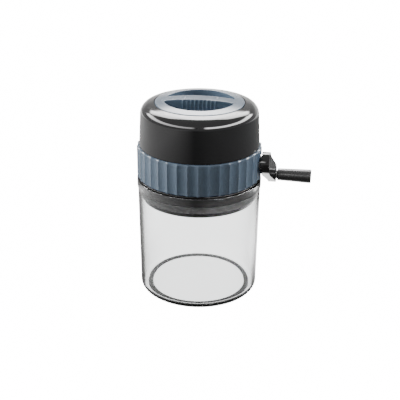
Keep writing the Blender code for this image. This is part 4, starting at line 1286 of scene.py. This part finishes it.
@dataclass
class Studio:
    """Pale floor, soft lights and the camera."""

    distance: float = 0.845
    height: float = 0.4665
    pitch: float = 23.72
    roll: float = 0.4
    focal: float = 80.46
    shift_x: float = 0.0025
    bright_spot: Triple = (0.064, 0.12, 0.0)
    spot_span: tuple[float, ...] = (0.05, 0.12, 3.0, 0.0)
    left_span: tuple[float, ...] = (-0.55, 0.0, 1.15, 0.06)
    right_span: tuple[float, ...] = (0.0, 0.6, 0.0, 0.25)
    far_span: tuple[float, ...] = (0.6, 1.0, 0.0, 1.6)
    behind_span: tuple[float, ...] = (0.75, 0.97, 0.0, 1.2)
    level_span: tuple[float, ...] = (0.1, 0.3, 1.0, 0.0)
    gloss_floor: float = 0.75
    seen: float = 16.0
    through: float = 3.2
    world_diffuse: float = 0.12
    table_diffuse: float = 0.1
    table_radius: float = 4.0

    def build(self) -> None:
        """Set up world, floor, lights and camera."""
        self.world()
        self.floor()
        for box in self.lights():
            box.build()
        self.camera()

    def lights(self) -> list[Softbox]:
        """The soft panels: behind, two long strips in front, and fills for the matt surfaces."""
        warm, cool = (1.0, 0.97, 0.95), (0.97, 0.985, 1.0)
        return [
            Softbox("back_panel", (122, 238), (30, 30), (64, 64), (21.0, 21.0), (0.15, 0.15)),
            Softbox("back_core", (160, 200), (30, 30), (62, 62), (34.0, 34.0), (0.4, 0.3)),
            Softbox("left_strip", (-6, -134), (14, 17), (34, 37), (7.0, 20.0), (0.07, 0.3)),
            Softbox("right_strip", (6, 134), (14, 17), (34, 37), (26.0, 24.0), (0.07, 0.3)),
            Softbox("top_fill", (0, 360), (62, 62), (89, 89), (2.0, 2.0), (0.01, 0.2), glossy=False),
            Softbox("front_fill", (-60, 60), (46, 46), (72, 72), (2.2, 2.2), (0.2, 0.2), glossy=False),
            Softbox("left_fill", (-56, -130), (-4, -4), (40, 40), (14.0, 12.0), colour=warm, glossy=False),
            Softbox("right_fill", (68, 130), (-4, -4), (40, 40), (9.0, 9.0), colour=cool, glossy=False),
        ]

    def by_path(self, nodes: Nodes, gloss: Socket, diffuse: float) -> Socket:
        """Choose a brightness by how the light reached the surface.

        Args:
            nodes: helper of the material's or world's tree.
            gloss: brightness seen in a glossy surface.
            diffuse: brightness that lights matt surfaces.

        Returns:
            The brightness's socket.
        """
        path = nodes.add("LightPath")

        def choose(mask: object, yes: object, no: object) -> Socket:
            """Pick one of two values by a mask of nought or one."""
            return nodes.add("Mix", {0: mask, 2: no, 3: yes}, data_type="FLOAT").outputs[0]

        bounced = nodes.maths("MINIMUM", path.outputs["Diffuse Depth"], 1.0)
        mirrored = nodes.maths("MINIMUM", path.outputs["Glossy Depth"], 1.0)
        unseen = choose(bounced, diffuse, choose(mirrored, gloss, self.through))
        return choose(path.outputs["Is Camera Ray"], self.seen, unseen)

    def world(self) -> None:
        """Dim even surroundings, pale where they are seen past the table."""
        world = bpy.data.worlds.new("studio")
        bpy.context.scene.world = world
        world.use_nodes = True
        world.cycles.sampling_method = "NONE"
        nodes = Nodes(world.node_tree)
        background = world.node_tree.nodes["Background"]
        background.inputs["Color"].default_value = (1.0, 1.0, 1.0, 1.0)
        split = nodes.add("SeparateXYZ", {0: nodes.add("TexCoord").outputs["Generated"]})
        behind = nodes.span(split.outputs[1], *self.behind_span)
        level = nodes.span(nodes.maths("ABSOLUTE", split.outputs[2]), *self.level_span)
        gloss = nodes.maths("MULTIPLY_ADD", behind, level, self.gloss_floor)
        strength = self.by_path(nodes, gloss, self.world_diffuse)
        world.node_tree.links.new(strength, background.inputs["Strength"])

    def floor(self) -> None:
        """Pale glowing table; in gloss it shows only near the object."""
        Bench.clear()
        bpy.ops.mesh.primitive_circle_add(vertices=128, radius=self.table_radius, fill_type="NGON")
        table = bpy.context.object
        table.name = table.data.name = "table"
        made = bpy.data.materials.new("table")
        made.use_nodes = True
        made.cycles.emission_sampling = "NONE"
        nodes = Nodes(made.node_tree)
        shader = made.node_tree.nodes["Principled BSDF"]
        shader.inputs["Base Color"].default_value = (0.05, 0.05, 0.05, 1.0)
        shader.inputs["Specular IOR Level"].default_value = 0.1
        shader.inputs["Roughness"].default_value = 0.3
        shader.inputs["Emission Color"].default_value = (1.0, 1.0, 1.0, 1.0)
        point = nodes.add("TexCoord").outputs["Object"]
        split = nodes.add("SeparateXYZ", {0: point})
        left = nodes.span(split.outputs[0], *self.left_span)
        right = nodes.span(split.outputs[0], *self.right_span)
        far = nodes.span(split.outputs[1], *self.far_span)
        away = nodes.add("VectorMath", {0: point, 1: self.bright_spot}, operation="DISTANCE").outputs["Value"]
        near = nodes.span(away, *self.spot_span)
        gloss = nodes.maths("ADD", nodes.maths("ADD", left, right), nodes.maths("ADD", far, near))
        strength = self.by_path(nodes, gloss, self.table_diffuse)
        made.node_tree.links.new(strength, shader.inputs["Emission Strength"])
        table.data.materials.append(made)
        table.visible_shadow = False

    def camera(self) -> None:
        """Add the camera, aimed across the object's axis."""
        data = bpy.data.cameras.new("camera")
        data.sensor_width = 36.0
        data.lens = self.focal
        data.shift_x = self.shift_x
        data.clip_end = 50.0
        camera = bpy.data.objects.new("camera", data)
        bpy.context.scene.collection.objects.link(camera)
        turn = math.radians(CAMERA_TURN)
        place = Vector((self.distance * math.sin(turn), -self.distance * math.cos(turn), self.height))
        view = (Matrix.Rotation(turn, 4, "Z") @ Matrix.Rotation(math.radians(90 - self.pitch), 4, "X")
                @ Matrix.Rotation(math.radians(self.roll), 4, "Z"))
        camera.matrix_world = Matrix.Translation(place) @ view
        bpy.context.scene.camera = camera


def main() -> None:
    """Build every sub-assembly in order, then the studio."""
    logging.basicConfig(level=logging.INFO, format="%(name)s: %(message)s")
    for part in (Jar(), Dome(), GripRing(), Collar(), Lid(), Crank(), Inside()):
        LOG.info("building %s", type(part).__name__)
        part.build()
    Studio().build()


if __name__ == "__main__":
    main()
